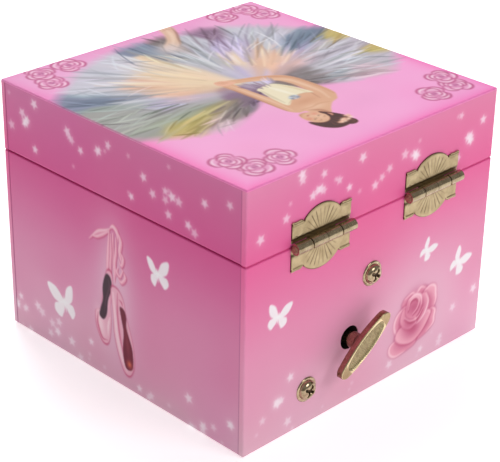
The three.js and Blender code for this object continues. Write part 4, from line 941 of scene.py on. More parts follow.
class Look:
    """A node material under construction."""

    def __init__(self, name, roughness=0.5, metal=0.0, **sockets):
        self.material = bpy.data.materials.new(name)
        self.material.use_nodes = True
        self.nodes = self.material.node_tree.nodes
        self.links = self.material.node_tree.links
        self.shader = self.nodes["Principled BSDF"]
        self.shader.inputs["Roughness"].default_value = roughness
        self.shader.inputs["Metallic"].default_value = metal
        for socket, value in sockets.items():
            self.shader.inputs[socket.replace("_", " ")].default_value = value
        self.place = self.nodes.new("ShaderNodeTexCoord").outputs["Object"]
        self.relief = None

    def node(self, kind, inputs=None, **settings):
        """A new node; each input is a value or another node's output."""
        made = self.nodes.new("ShaderNode" + kind)
        for key, value in settings.items():
            setattr(made, key, value)
        for key, value in (inputs or {}).items():
            if isinstance(value, bpy.types.NodeSocket):
                self.links.new(value, made.inputs[key])
            else:
                made.inputs[key].default_value = value
        return made

    def noise(self, size_mm, detail=4.0, stretch=None, rough=0.55):
        """Cloudy noise whose features are about size_mm."""
        where = self.place
        if stretch:
            where = self.node("Mapping", {"Vector": where, "Scale": stretch}).outputs["Vector"]
        inputs = {"Vector": where, "Scale": 1 / (size_mm * MM), "Detail": detail, "Roughness": rough}
        return self.node("TexNoise", inputs).outputs["Fac"]

    def bands(self, pitch_mm, along):
        """Fine even lines with the given pitch."""
        inputs = {"Vector": self.place, "Scale": 0.314 / (pitch_mm * MM), "Distortion": 0.0, "Detail": 1.0}
        return self.node("TexWave", inputs, wave_type="BANDS", bands_direction=along).outputs["Fac"]

    def spread(self, value, low, high, from_low=0.3, from_high=0.7):
        """A value mapped to the range from low to high."""
        inputs = {
            "Value": value, "From Min": from_low, "From Max": from_high, "To Min": low, "To Max": high,
        }
        return self.node("MapRange", inputs).outputs["Result"]

    def between(self, share, first, second, blend_type="MIX"):
        """The first colour mixed with the second, or multiplied by it, by a share."""
        inputs = {MIX_FIRST: first, MIX_SECOND: second, MIX_SHARE: share}
        return self.node("Mix", inputs, data_type="RGBA", blend_type=blend_type).outputs[MIX_RESULT]

    def clouds(self, cloud, light, dark):
        """Two display colours in soft clouds."""
        return self.between(self.spread(cloud, 0, 1), tone(light), tone(dark))

    def ink_and_shade(self):
        """The colour that is stored on the piece's points."""
        return self.node("Attribute", attribute_name="ink_and_shade").outputs["Color"]

    def colour(self, value):
        self.links.new(value, self.shader.inputs["Base Color"])
        return self

    def rough(self, value):
        self.links.new(value, self.shader.inputs["Roughness"])
        return self

    def bump(self, height, depth_mm, strength=1.0):
        """Adds a relief over any relief that is there already."""
        inputs = {"Height": height, "Distance": depth_mm * MM, "Strength": strength}
        if self.relief is not None:
            inputs["Normal"] = self.relief
        self.relief = self.node("Bump", inputs).outputs["Normal"]
        self.links.new(self.relief, self.shader.inputs["Normal"])
        return self

    def clouded(self, first, second, size_mm, roughness, grain_mm=0.25, depth_mm=0.01, stretch=None):
        """The usual finish: two tones in soft clouds, uneven gloss and a fine grain."""
        cloud = self.noise(size_mm)
        grain = self.noise(grain_mm, 6.0, stretch)
        self.colour(self.clouds(cloud, first, second))
        self.rough(self.spread(grain, *roughness))
        return self.bump(grain, depth_mm)


def paper_look(name, plain=None):
    """Glossy printed paper; plain is a colour, or the print, with its painted shade, is read from the
    colours stored on the sheet.
    """
    look = Look(name, Specular_IOR_Level=0.14, Coat_Weight=0.06, Coat_Roughness=0.09, Coat_IOR=1.45)
    soil = look.spread(look.noise(14.0, 1.0), 0, 0.8, 0, 1)
    print_colour = tone(plain) if plain else look.ink_and_shade()
    look.colour(look.between(soil, print_colour, (0.97, 0.955, 0.965, 1), "MULTIPLY"))
    look.rough(look.spread(look.noise(12.0, 1.0), 0.31, 0.43, 0, 1))
    return look.bump(look.noise(9.0, 0.0), 0.006, 0.5).material


PRINTED = paper_look("printed_paper")
PINK_PAPER = paper_look("pink_paper", (224, 104, 160))


def plated(name, light, dark, roughness, size_mm=2.5, depth_mm=0.012, grain_mm=0.2, **sockets):
    """Plated metal: warm clouding, darker in the low places of a fine grain."""
    look = Look(name, metal=1.0, **sockets)
    cloud, grain = look.noise(size_mm, 5.0), look.noise(grain_mm, 6.0)
    look.colour(look.between(look.spread(grain, 0, 0.35), look.clouds(cloud, light, dark), tone(dark)))
    look.rough(look.spread(look.noise(size_mm * 0.4, 6.0), *roughness))
    return look.bump(grain, depth_mm).material


HINGE_METAL = plated("hinge_plating", (208, 189, 152), (166, 146, 112), (0.36, 0.5), 2.2, 0.02, 0.22)
BARREL_METAL = plated("barrel_plating", (186, 170, 140), (150, 132, 104), (0.2, 0.3), 2.6, 0.004, 0.3)
PIN_METAL = Look("pin_copper", Specular_IOR_Level=0.3)
PIN_METAL = PIN_METAL.clouded((168, 118, 98), (112, 70, 58), 1.0, (0.42, 0.55)).material
# dark red-brown for the leaves' cut edges
DARK_CUT_EDGE = plated("hinge_cut_edge", (120, 72, 62), (70, 40, 40), (0.45, 0.6), 0.8)
KEY_METAL = plated("key_plating", (240, 224, 184), (218, 198, 152), (0.1, 0.18), 3.4, 0.003, 0.4)
KEY_LAND = plated("key_land", (190, 168, 130), (160, 138, 102), (0.3, 0.42), 2.2, 0.006, 0.3)
KEY_PANEL = plated("key_panel", (190, 178, 138), (140, 126, 94), (0.26, 0.42), 0.9, 0.02, 0.16)
# the key's sides and boss: the plating darkened and made pinker, as painted shade with a painted reflection
# of the pink wall
KEY_SIDE_PAINTED_SHADE = plated("key_side_painted_shade", (176, 140, 118), (140, 104, 88), (0.24, 0.36), 2.0, 0.006, 0.3)
SCREW_METAL = plated("screw_plating", (208, 190, 158), (144, 124, 96), (0.1, 0.2), 1.2, 0.006)
# the cross recess and its bowl in darker plating: painted shade in the hollows
SCREW_RECESS_SHADE = plated("screw_recess_painted_shade", (104, 86, 66), (54, 42, 32), (0.3, 0.42), 0.8, 0.006)


def stamped_look():
    """The hinge's plating on its stamped faces, multiplied by the colours stored on the leaf: darker in the
    pattern's lines and along its edges, with painted shade just above the barrel.
    """
    look = Look("hinge_stamping", metal=1.0)
    cloud, grain = look.noise(3.2, 5.0), look.noise(0.22, 6.0)
    base = look.clouds(cloud, (194, 175, 139), (170, 151, 116))
    base = look.between(look.spread(grain, 0, 0.25), base, tone((150, 131, 99)))
    look.colour(look.between(1.0, base, look.ink_and_shade(), "MULTIPLY"))
    look.rough(look.spread(cloud, 0.34, 0.48))
    return look.bump(grain, 0.015).material


STAMPED = stamped_look()
# ---------- the printed papers on the outside ----------

PROUD = 0.28  # the papers that lap the corners stand this far off the boards
TUCKED = 0.18  # and the papers that end under a lap this far
EDGE = 0.55  # radius of the papered edges
LAP = 1.7  # how far a lapping paper goes on round the corner
BEHIND = 0.02  # the papers' backs stand this far off the boards
SHEET_MM = 0.16
SKIRT_DROP = 0.06  # how far the top paper comes down the sides, below its rounded edge
SEAM_GAP = 0.01  # between the top paper and the sides' papers
ARC_STEPS = 5
ARC_ANGLES = np.linspace(0, math.pi / 2, ARC_STEPS + 1)
# (inset, drop) from the vertical side over a rounded edge to the level above it
EDGE_ARC = [(EDGE * (1 - math.cos(a)), EDGE * (1 - math.sin(a))) for a in ARC_ANGLES]
KEY_HOLE = 3.9

SIDES = {  # the left end seen from outside, the way along, and outwards
    "front": ((-HALF_MM, -HALF_MM), (1, 0), (0, -1)),
    "right": ((HALF_MM, -HALF_MM), (0, 1), (1, 0)),
    "back": ((HALF_MM, HALF_MM), (-1, 0), (0, 1)),
    "left": ((-HALF_MM, HALF_MM), (0, -1), (-1, 0)),
}


def sampled(paint, u, v):
    """The print's colour at places between its points."""
    column = np.interp(u, paint.across, np.arange(len(paint.across)))
    row = np.interp(v, paint.up, np.arange(len(paint.up)))
    c = np.minimum(column.astype(int), len(paint.across) - 2)
    r = np.minimum(row.astype(int), len(paint.up) - 2)
    fc, fr = (column - c)[:, None], (row - r)[:, None]
    low = paint.rgb[r, c] * (1 - fc) + paint.rgb[r, c + 1] * fc
    high = paint.rgb[r + 1, c] * (1 - fc) + paint.rgb[r + 1, c + 1] * fc
    return low * (1 - fr) + high * fr


def store_ink_and_shade(piece, colours):
    """Stores display colours on a piece's points: print and painted shade alike."""
    linear = linear_rgb(np.clip(colours, 0, 255))
    ink_and_shade = piece.data.color_attributes.new("ink_and_shade", "FLOAT_COLOR", "POINT")
    rgba = np.hstack([linear, np.ones((len(linear), 1))])
    ink_and_shade.data.foreach_set("color", rgba.astype(np.float32).ravel())


def paper_columns(lapped, proud, step):
    """Stations across a side's paper: along, out, and the way the paper faces there."""
    bend = EDGE - proud
    start = []
    if lapped:
        start = [(-proud, b, -1, 0) for b in np.linspace(-LAP, -bend, 5)]
        start += [
            (bend - EDGE * math.cos(a), -bend + EDGE * math.sin(a), -math.cos(a), math.sin(a))
            for a in ARC_ANGLES[1:-1]
        ]
    first = bend if lapped else LAP + BEHIND
    last = WIDE_MM - first
    flat = [(a, proud, 0, 1) for a in np.linspace(first, last, int(round((last - first) / step)) + 1)]
    end = [(WIDE_MM - a, b, -na, nb) for a, b, na, nb in reversed(start)]
    return np.array(start + flat + end)


def paper_section(part, proud, step):
    """A side paper's face and back from the foot up, as (inset, height)."""
    face_low = FELT_MM - TUCKED if part == "base" else LID_LOW_MM - proud
    foot = [(inset, face_low + drop) for inset, drop in reversed(EDGE_ARC)]
    if part == "base":
        turn_under, turn_over = 1.0, BASE_TOP_MM + BEHIND
        back_low = face_low + SHEET_MM
        foot = [(turn_under, face_low)] + foot
        head = [(inset, BASE_TOP_MM + proud - drop) for inset, drop in EDGE_ARC]
        back = [
            (turn_under, back_low), (proud - BEHIND, back_low), (proud - BEHIND, turn_over),
            (EDGE, turn_over),
        ]
    else:
        head = [(0, TOP_MM + PROUD - EDGE - SKIRT_DROP - SEAM_GAP)]
        back_low = LID_LOW_MM - BEHIND
        back = [(EDGE, back_low), (proud - BEHIND, back_low), (proud - BEHIND, head[0][1])]
    rise = int(round((head[0][1] - foot[-1][1]) / step))
    wall = [(0, z) for z in np.linspace(foot[-1][1], head[0][1], rise + 1)[1:-1]]
    return foot + wall + head, back


def side_paper(part, side, paint, step):
    """One side's paper on the base or the lid, as a closed sheet."""
    corner, along, out = SIDES[side]
    lapped = side in ("front", "back")
    proud = PROUD if lapped else TUCKED
    columns = paper_columns(lapped, proud, step)
    face, back = paper_section(part, proud, step)
    points = []
    for inset, z in face + back:
        a, b = columns[:, 0] - inset * columns[:, 2], columns[:, 1] - inset * columns[:, 3]
        x = corner[0] + a * along[0] + b * out[0]
        y = corner[1] + a * along[1] + b * out[1]
        points.append(np.stack([x, y, np.full(len(a), z)], 1))
    wide, tall, deep = len(columns), len(face), len(back)
    first = tall * wide
    faces = grid_faces(tall, wide) + grid_faces(deep, wide, first)
    last_front, last_back = (tall - 1) * wide, first + (deep - 1) * wide
    for c in range(wide - 1):
        faces.append([c, c + 1, first + c + 1, first + c])
        faces.append([last_front + c, last_front + c + 1, last_back + c + 1, last_back + c])
    for c in (0, wide - 1):
        rising = [r * wide + c for r in range(tall)]
        faces.append(rising + [first + r * wide + c for r in reversed(range(deep))])
    piece = outward(mesh_piece(f"{part}_paper_{side}", np.vstack(points), faces, PRINTED))
    if part == "base" and side == "back":
        key_x, _, key_z = middle_mm("key_shaft")
        piece = drilled(piece, KEY_HOLE, HALF_MM - 2, HALF_MM + 2, None, (key_x, 0, key_z), "Y", 64)
    where = np.empty(len(piece.data.vertices) * 3)
    piece.data.vertices.foreach_get("co", where)
    where = where.reshape(-1, 3) / MM
    from_corner = where[:, :2] - corner
    a = from_corner[:, 0] * along[0] + from_corner[:, 1] * along[1]
    turned = np.minimum(from_corner[:, 0] * out[0] + from_corner[:, 1] * out[1] - proud, 0)
    u = np.where(a < HALF_MM, a + turned, a - turned)
    store_ink_and_shade(piece, painted_seam_and_lap_shade(sampled(paint, u, where[:, 2]), where))
    piece.data.shade_smooth()
    assign(sharpen(piece, 50), part)


def painted_seam_and_lap_shade(colours, where):
    """Paints shade along the seam between the lid and the base and a shadow at the laps' edges, and makes
    the colours paler along the edges of the box, unevenly.
    """
    x, y, z = where.T
    from_sides = HALF_MM + PROUD - abs(where[:, :2])
    # paler along the box's edges and the lid's top edge, unevenly
    upright = np.where(from_sides.min(1) < EDGE, from_sides.max(1), 9.0)
    rim = z - TOP_MM - PROUD
    paler_edge = 0.1 * bell(upright, 0.5) + 0.05 * bell(rim, 0.6) * (z > SEAM_MM)
    ripple = 0.5 + 0.5 * np.sin(x * 1.7 + 2 * np.sin(y * 0.9) + z * 0.8)
    paler_edge = np.clip(paler_edge * (0.55 + 0.45 * ripple), 0, 1)[:, None]
    # painted shade in the gap between the lid and the base
    from_seam = np.minimum(abs(z - BASE_TOP_MM), abs(z - LID_LOW_MM))
    colours = blend(colours, [176, 34, 104], 0.4 * bell(from_seam, 0.18)[:, None])
    # painted shadow along the edge of each lap round the corners
    lap_shadow = bell(HALF_MM - LAP - abs(y), 0.2) * (abs(x) > HALF_MM)
    colours = blend(colours, [140, 50, 100], 0.42 * lap_shadow[:, None])
    return blend(colours, [250, 222, 236], paler_edge)


def top_paper():
    """The lid's top paper, with its rounded edges and a short turn down the sides."""
    reach = HALF_MM + PROUD
    flat = reach - EDGE
    count = 300
    core = np.linspace(-flat, flat, count + 1)
    core = np.concatenate([np.full(ARC_STEPS, -flat), core, np.full(ARC_STEPS, flat)])
    lean = np.concatenate([-ARC_ANGLES[:0:-1], np.zeros(count + 1), ARC_ANGLES[1:]])
    lean_u, lean_v = np.meshgrid(lean, lean)
    core_u, core_v = np.meshgrid(core, core)
    face = np.stack([np.sin(lean_u), np.sin(lean_v), np.cos(lean_u) * np.cos(lean_v)], -1)
    face /= np.linalg.norm(face, axis=-1)[..., None]
    level = np.full(core_u.shape, TOP_MM + PROUD - EDGE)
    points = (np.stack([core_u, core_v, level], -1) + EDGE * face).reshape(-1, 3)

    side = len(lean)
    faces = grid_faces(side, side)
    ring = grid_outline(side, side)
    skirt = points[ring] - [0, 0, SKIRT_DROP]
    inner = skirt.copy()
    wall = reach - PROUD
    inner[:, :2] = np.where(abs(skirt[:, :2]) > wall, np.sign(skirt[:, :2]) * (wall + BEHIND), skirt[:, :2])
    under = [
        [x * (wall + BEHIND), y * (wall + BEHIND), TOP_MM + BEHIND]
        for x, y in ((-1, -1), (1, -1), (1, 1), (-1, 1))
    ]
    n = len(ring)
    a, b, c = len(points), len(points) + n, len(points) + 2 * n
    skirt_ring, inner_ring = list(range(a, b)), list(range(b, c))
    for pair in zip(bridge(ring, skirt_ring), bridge(skirt_ring, inner_ring)):
        faces += pair
    corners = [0, side - 1, 2 * (side - 1), 3 * (side - 1), n]
    for k in range(4):
        strip = [b + j % n for j in range(corners[k], corners[k + 1] + 1)]
        faces.append(strip + [c + (k + 1) % 4, c + k])
    faces.append([c, c + 1, c + 2, c + 3])
    points = np.vstack([points, skirt, inner, under])
    piece = outward(mesh_piece("lid_paper_top", points, faces, PRINTED))

    grid = np.linspace(0, WIDE_MM, count + 1)
    paint = Print(grid, grid)
    top_picture(paint)
    x, y = points[:, 0], points[:, 1]
    edge = reach - np.maximum(abs(x), abs(y))
    colours = sampled(paint, x + HALF_MM, y + HALF_MM)
    colours = blend(colours, [242, 140, 192], 0.7 * bell(edge, 0.32)[:, None])
    ripple = 0.6 + 0.4 * np.sin(x * 1.3 + y * 2.1 + 3 * np.sin(x * 0.31))
    store_ink_and_shade(piece, blend(colours, [252, 226, 240], (0.08 * bell(edge, 0.3) * ripple)[:, None]))
    assign(sharpen(piece, 50), "lid")


def paper_rim(part, rim, away, end):
    """The plain paper over the walls' ends and down inside; away is 1 where it faces up."""
    skin, cover, inner = 0.15, rim + away * BEHIND, HALF_MM - WALL_MM
    section = [
        (HALF_MM - EDGE + TUCKED + 0.1, cover), (HALF_MM - EDGE + TUCKED + 0.1, rim + away * skin),
        (inner + 0.25, rim + away * skin), (inner - 0.05, rim + away * 0.08),
        (inner - skin, rim - away * 0.15), (inner - skin, end), (inner - BEHIND, end),
        (inner - BEHIND, cover),
    ]
    share = np.linspace(0, 1, 24, endpoint=False)[:, None]
    corners = np.array([(-1, -1), (1, -1), (1, 1), (-1, 1), (-1, -1)])
    plan = np.vstack([a * (1 - share) + b * share for a, b in zip(corners[:-1], corners[1:])])
    points = np.vstack([np.hstack([plan * half, np.full((len(plan), 1), z)]) for half, z in section])
    faces = grid_faces(len(section), len(plan), round_rows=True, round_columns=True)
    piece = outward(mesh_piece(f"{part}_paper_rim", points, faces, PINK_PAPER))
    assign(sharpen(piece, 40), part)


def wrap_box():
    """Prints each side's picture and wraps the base and the lid in it."""
    pictures = {"front": front_picture, "right": right_picture, "back": back_picture, "left": left_picture}
    for side, picture in pictures.items():
        step = 0.32 if side in ("back", "right") else 0.42
        across = np.linspace(-3, WIDE_MM + 3, int((WIDE_MM + 6) / step))
        paint = Print(across, np.linspace(0, TOP_MM, int(TOP_MM / step)))
        picture(paint)
        side_paper("base", side, paint, step)
        side_paper("lid", side, paint, step)
    top_paper()
    paper_rim("base", BASE_TOP_MM, 1, 50.08)  # down to just above the deck
    paper_rim("lid", LID_LOW_MM, -1, 81.45)  # up to just below the lid's lining


wrap_box()
# ---------- hinges, key and screws ----------

HINGE_REACH = 7.5  # from the pin's middle to a shoulder's straight edge
HINGE_HALF = 12.2  # half the hinge's width
LOBE = 10.3  # radius of the round lobe
MEET = math.sqrt(LOBE**2 - HINGE_REACH**2)  # where the lobe meets the shoulders
BARREL = 1.75  # outer radius of the knuckles
BORE = 0.86
LEAF_THICK = 0.5
CLEAR_OF_BARREL = 1.3  # a leaf starts here where the other leaf's knuckles are
KNUCKLE_GAP = 0.2
END_CUT = 0.62  # depth of the notch in a knuckle's end
NOTCH_AT, NOTCH_WIDE = -56, 22  # degrees round the barrel
RAYS = 15
RING_RADIUS = 9.4  # the raised ring round the rays


def leaf_edge(x):
    """How far a hinge leaf reaches from its barrel's middle at x."""
    notch = 0.55 * bell(abs(x) - MEET - 0.25, 0.22)
    lobe = np.sqrt(np.clip(LOBE**2 - x**2, 0, None))
    return np.where(abs(x) < MEET, lobe, HINGE_REACH) - notch


def leaf_relief(x, z, edge):
    """The stamped pattern and its rays: a shell on the lobe and scrolls on the shoulders."""
    angle, far = np.arctan2(z, x), np.hypot(x, z)
    beam = np.clip((far - 2.6) / 1.6, 0, 1) * np.clip((RING_RADIUS - far) / 0.8, 0, 1)
    beam *= np.clip((6.8 - abs(x)) / 1.2, 0, 1) * (0.7 + 0.3 * np.sin(7 * angle))
    rays = bell(np.sin(RAYS * angle), 0.34) * beam
    shell = -0.1 * rays + 0.04 * bell(far - RING_RADIUS, 0.2)
    scroll = 0.0
    for side in (-1, 1):
        for middle, radius in (
            ((side * 9.4, 4.6), 1.5), ((side * 7.2, 6.0), 0.9), ((side * 10.6, 2.8), 0.8),
        ):
            ring = np.hypot(x - middle[0], z - middle[1])
            scroll = scroll + 0.055 * bell(ring - radius, 0.2) + 0.05 * bell(ring, 0.3 * radius)
    hammer = 0.012 * np.sin(x * 5.1 + 2 * np.sin(z * 3.3)) * np.sin(z * 5.7 + 2 * np.sin(x * 2.9))
    shoulder = step_up(abs(x) - MEET - 0.7, 0.12)
    fold = 0.16 * step_up(z - HINGE_REACH + 0.72, 0.06) - 0.14 * bell(z - HINGE_REACH + 0.8, 0.13)
    rim = np.minimum(edge - z, HINGE_HALF - abs(x))
    softened = -0.16 * bell(rim, 0.16) + 0.05 * bell(rim - 0.55, 0.18)
    curl = -0.3 * step_up(2.5 - z, 0.16)
    return shell + scroll * (abs(x) > 6.4) + hammer + softened + shoulder * fold + curl, rays


def hinge_leaf(name, node, pin_middle, up, knuckles, body):
    """A stamped leaf and its curled knuckles. up is 1 for the lid's leaf and -1 for the base's."""
    across = np.linspace(-HINGE_HALF, HINGE_HALF, 190)
    own = np.zeros(len(across), bool)
    for low, high in knuckles:
        own |= (across > low - 0.05) & (across < high + 0.05)
    start = np.where(own, BORE - 0.01, CLEAR_OF_BARREL)
    share = np.linspace(0, 1, 64)
    x = np.tile(across, (len(share), 1))
    edge = np.tile(leaf_edge(across), (len(share), 1))
    z = start + (edge - start) * share[:, None]
    relief, rays = leaf_relief(x, z, edge)
    front = HALF_MM + PROUD + LEAF_THICK + relief
    face = np.stack([pin_middle[0] + x, front, pin_middle[2] + up * z], -1).reshape(-1, 3)
    outline = grid_outline(*x.shape)
    back = face[outline].copy()
    back[:, 1] = HALF_MM + PROUD + BEHIND
    behind = list(range(len(face), len(face) + len(outline)))
    faces = grid_faces(*x.shape) + bridge(outline, behind) + [behind]
    leaf = mesh_piece(name, np.vstack([face, back]), faces, STAMPED)
    rim = np.minimum(edge - z, HINGE_HALF - abs(x))
    # darker along the stamped rays and the leaf's edges, and painted shade just above the barrel where the
    # leaf curls back behind it
    lines_and_barrel_shade = 0.62 * rays + 0.5 * bell(z - 2.6, 0.5) + 0.3 * bell(rim, 0.2)
    shade = np.ones((len(leaf.data.vertices), 3))
    shade[:len(face)] = 1 - np.clip(lines_and_barrel_shade, 0, 0.75).reshape(-1, 1) * [0.62, 0.66, 0.7]
    store_ink_and_shade(leaf, 255 * shade)
    leaf = outward(leaf)
    leaf.data.materials.append(DARK_CUT_EDGE)
    for side in leaf.data.polygons:
        side.material_index = int(side.normal.y < 0.3)
    assign(sharpen(leaf, 55), body, node)
    for number, (low, high) in enumerate(knuckles):
        curl = knuckle(f"{name}_knuckle_{number + 1}", pin_middle, up, low, high)
        assign(curl, body)
    for number, side in enumerate((-1, 1)):
        assign(leaf_lip(f"{name}_lip_{number + 1}", pin_middle, up, side), body)


def knuckle(name, pin_middle, up, low, high):
    """A strip of the leaf curled round the pin: a bored tube with a web back to the leaf."""
    angles = np.linspace(math.radians(197), math.radians(197 - 334), 40)
    section = np.array(arc(angles, BARREL) + arc(angles[::-1], BORE))
    if up < 0:
        section = section * [1, -1]
    soften = 0.12
    stations = [(low, -soften), (low + soften, 0), (high - soften, 0), (high, -soften)]
    wrapped = np.degrees(np.arctan2(section[:, 1], section[:, 0]))
    notch = END_CUT * bell(wrapped - NOTCH_AT, NOTCH_WIDE)
    radius = np.hypot(section[:, 0], section[:, 1])
    points = []
    for x, shrink in stations:
        back = 0.0
        if x < low + 1 and abs(abs(low) - HINGE_HALF / 2) < 0.5:
            back = notch
        if x > high - 1 and abs(abs(high) - HINGE_HALF / 2) < 0.5:
            back = -notch
        scale = 1 + shrink * np.sign(radius - (BARREL + BORE) / 2) / radius
        out, rise = (section * scale[:, None]).T
        points.append(
            np.column_stack(
                [pin_middle[0] + x + back + 0 * out, pin_middle[1] + out, pin_middle[2] + rise]
            )
        )
    count = len(section)
    faces = grid_faces(len(stations), count, round_columns=True)
    for start in (0, (len(stations) - 1) * count):
        for k in range(count // 2 - 1):
            faces.append([start + k, start + k + 1, start + count - 2 - k, start + count - 1 - k])
    return sharpen(outward(mesh_piece(name, np.vstack(points), faces, BARREL_METAL)), 40)


def leaf_lip(name, pin_middle, up, side):
    """The prong strip that is folded back into the board along a shoulder's straight edge."""
    z = pin_middle[2] + up * (HINGE_REACH + 0.05)
    xs = np.linspace(side * (MEET + 1.2), side * (HINGE_HALF - 0.05), 14)
    wave = 0.06 * np.sin(np.linspace(0, 9, 14))
    line = [(pin_middle[0] + x, HALF_MM + PROUD + 0.3, z + up * w) for x, w in zip(xs, wave)]
    return swept(name, line, 0.27, HINGE_METAL, 12)


def hinges():
    """Each hinge: the base's leaf has the two outer knuckles and the lid's leaf the two inner ones."""
    for name in ("left", "right"):
        middle = middle_mm(f"hinge_{name}_pin")
        quarter = HINGE_HALF / 2
        outer = [(-HINGE_HALF, -quarter - KNUCKLE_GAP), (quarter + KNUCKLE_GAP, HINGE_HALF)]
        inner = [(-quarter + KNUCKLE_GAP, -0.08), (0.08, quarter - KNUCKLE_GAP)]
        for side in (-1, 1):
            end = HINGE_HALF * side
            head = [
                (0, end - 0.05 * side), (1.2, end + 0.02 * side), (1.2, end + 0.14 * side),
                (0.95, end + 0.3 * side), (0.5, end + 0.4 * side), (0, end + 0.42 * side),
            ]
            cap = lathe(f"hinge_{name}_pin_head_{(3 + side) // 2}", head, PIN_METAL, middle, "X", 32)
            assign(sharpen(cap, 50), "base")
        hinge_leaf(f"hinge_{name}_base_stamping", f"hinge_{name}_base_leaf", middle, -1, outer, "base")
        hinge_leaf(f"hinge_{name}_lid_stamping", f"hinge_{name}_lid_leaf", middle, 1, inner, "lid")


hinges()

KEY_ANGLE = math.radians(36)


def boat_half_width(s, length, width, end):
    """Half the width of the key's boat shape at s from its middle."""
    half = length / 2
    share = np.clip(abs(s) / half, 0, 1)
    belly = (width - end) / 2 * (1 - (share / 0.93) ** 2).clip(0) + end / 2
    nose = end * 0.5
    cap = np.sqrt(np.clip(1 - ((abs(s) - (half - nose)) / nose).clip(0) ** 2, 0.0, 1))
    return np.maximum(belly * cap, 0.02)


def key():
    """The boat-shaped handle, with a ribbed panel sunk in its face."""
    middle = middle_mm("key_handle")
    back, front = HALF_MM + 5.0, HALF_MM + 7.4
    # end is the width of the boat's ends, and rim and land are what stays flat beside and past the panel
    length, width, end, rim, land = 25.0, 7.0, 3.8, 0.62, 3.3
    nose = length / 2 - end * 0.6
    ends = nose + end * 0.6 * np.sin(np.linspace(0, math.pi / 2, 26)) * 0.9995
    stations = np.concatenate([-ends[:0:-1], np.linspace(-nose, nose, 250), ends[1:]])
    across = np.sin(np.linspace(-math.pi / 2, math.pi / 2, 45))
    points = []
    for s in stations:
        half = boat_half_width(s, length, width, end)
        inside = abs(s) < length / 2 - land
        panel = float(boat_half_width(s, length - 2 * land, width - 2 * rim, 2.6)) if inside else 0.0
        soft = min(0.42, half * 0.8)
        flat = half - soft
        t = across * flat
        sunk = step_up(panel - abs(t), 0.05) if panel > 0.1 else np.zeros_like(t)
        fade = np.clip((length / 2 - land - abs(s)) / 0.3, 0, 1)
        ribs = 0.11 * math.sin(2 * math.pi * s / 0.72)
        top = front - soft * 0.25 - fade * sunk * (0.42 + ribs)
        face = np.column_stack([t, top])
        bends = np.linspace(math.pi / 2, 0, 6)[1:]
        right = np.column_stack(
            [flat + soft * np.cos(bends), front - soft * 0.25 - soft + soft * np.sin(bends)]
        )
        under = np.linspace(0, -math.pi / 2, 5)
        low_right = np.column_stack([flat + soft * np.cos(under), back + soft + soft * np.sin(under)])
        mirrored = np.vstack([low_right[::-1], right[::-1]]) * [-1, 1]
        ring = np.vstack([face, right, low_right, mirrored])
        points.append(np.column_stack([np.full(len(ring), s), ring[:, 1], ring[:, 0]]))
    faces = flat_ended_tube(len(points), len(points[0]))
    points = np.vstack(points)
    c, s = math.cos(KEY_ANGLE), math.sin(KEY_ANGLE)
    x, y, z = points.T
    turned = np.column_stack([x * c + z * s, y, z * c - x * s]) + [middle[0], 0, middle[2]]
    handle = sharpen(outward(mesh_piece("key_bow", turned, faces, KEY_METAL)), 60)
    for look in (KEY_PANEL, KEY_SIDE_PAINTED_SHADE, KEY_LAND):
        handle.data.materials.append(look)
    for face in handle.data.polygons:
        x, y, z = face.center / MM
        facing = face.normal.y
        if facing > 0.2 and y < front - 0.22:
            face.material_index = 1
        # the sides take the darker plating: painted shade and a painted pink reflection
        elif facing < 0.45 and y < front - 0.35:
            face.material_index = 2
        elif facing > 0.96 and math.hypot(x - middle[0], z - middle[2]) > length / 2 - land:
            face.material_index = 3
    assign(handle, "key", "key_handle")
    boss = [
        (0, -3.6), (2.35, -3.6), (2.6, -3.35), (2.6, -1.1), (2.72, -0.95), (2.78, -0.4), (2.95, -0.15),
        (2.95, 0.3), (0, 0.3),
    ]
    # the boss in the same painted shade and pink reflection
    hub = sharpen(lathe("key_boss", boss, KEY_SIDE_PAINTED_SHADE, (middle[0], back, middle[2]), "Y", 64))
    assign(hub, "key")


key()


def mounting_screw(node):
    """A flanged machine screw with a domed cross-recess head."""
    low, high = box_mm(node)
    x, _, z = (low + high) / 2
    tip = low[1]
    sides, rings = 96, 44
    head, reach, turn = 3.05, 2.05, 0.5  # the head's radius, the cross's radius and its turn
    radius = np.linspace(0.06, head, rings)[:, None]
    angle = full_turn(sides)
    dome = HALF_MM + 0.7 + 1.9 * np.sqrt(np.clip(1 - (radius / (head * 1.02)) ** 2, 0, 1)) ** 0.75
    arm = 0.34 + 0.05 * (2 - radius).clip(0)
    from_arm = np.minimum(abs(radius * np.cos(angle - turn)), abs(radius * np.sin(angle - turn)))
    cross = step_up(arm - from_arm, 0.05) * step_up(reach - radius, 0.07)
    bowl = bell(radius, 0.75)
    height = dome - np.maximum(cross, bowl) * (1.25 - 0.35 * radius / 2)
    flange = [
        (3.2, 0.72), (3.5, 0.74), (3.85, 0.68), (4.05, 0.52), (4.1, 0.35), (4.0, 0.29), (1.5, 0.29),
        (1.5, tip + 0.5 - HALF_MM), (1.1, tip - HALF_MM),
    ]
    levels = [(wide[0], level) for wide, level in zip(radius, height)]
    levels += [(wide, np.full(sides, HALF_MM + level)) for wide, level in flange]
    points = [np.column_stack([wide * np.cos(angle), y, wide * np.sin(angle)]) for wide, y in levels]
    faces = pointed_tube(len(points), sides)
    points = np.vstack(points + [[[0, height[0].mean(), 0]], [[0, tip, 0]]]) + [x, 0, z]
    screw = outward(mesh_piece(node.replace("movement_", "mounting_"), points, faces, SCREW_METAL))
    # the recess's faces take the painted shade
    screw.data.materials.append(SCREW_RECESS_SHADE)
    for face in screw.data.polygons:
        ring = min(face.index // sides, rings - 2)
        spoke = face.index % sides
        if face.index < (rings - 1) * sides and max(cross[ring, spoke], bowl[ring, 0]) > 0.6:
            face.material_index = 1
    assign(sharpen(screw, 50), "base", node)


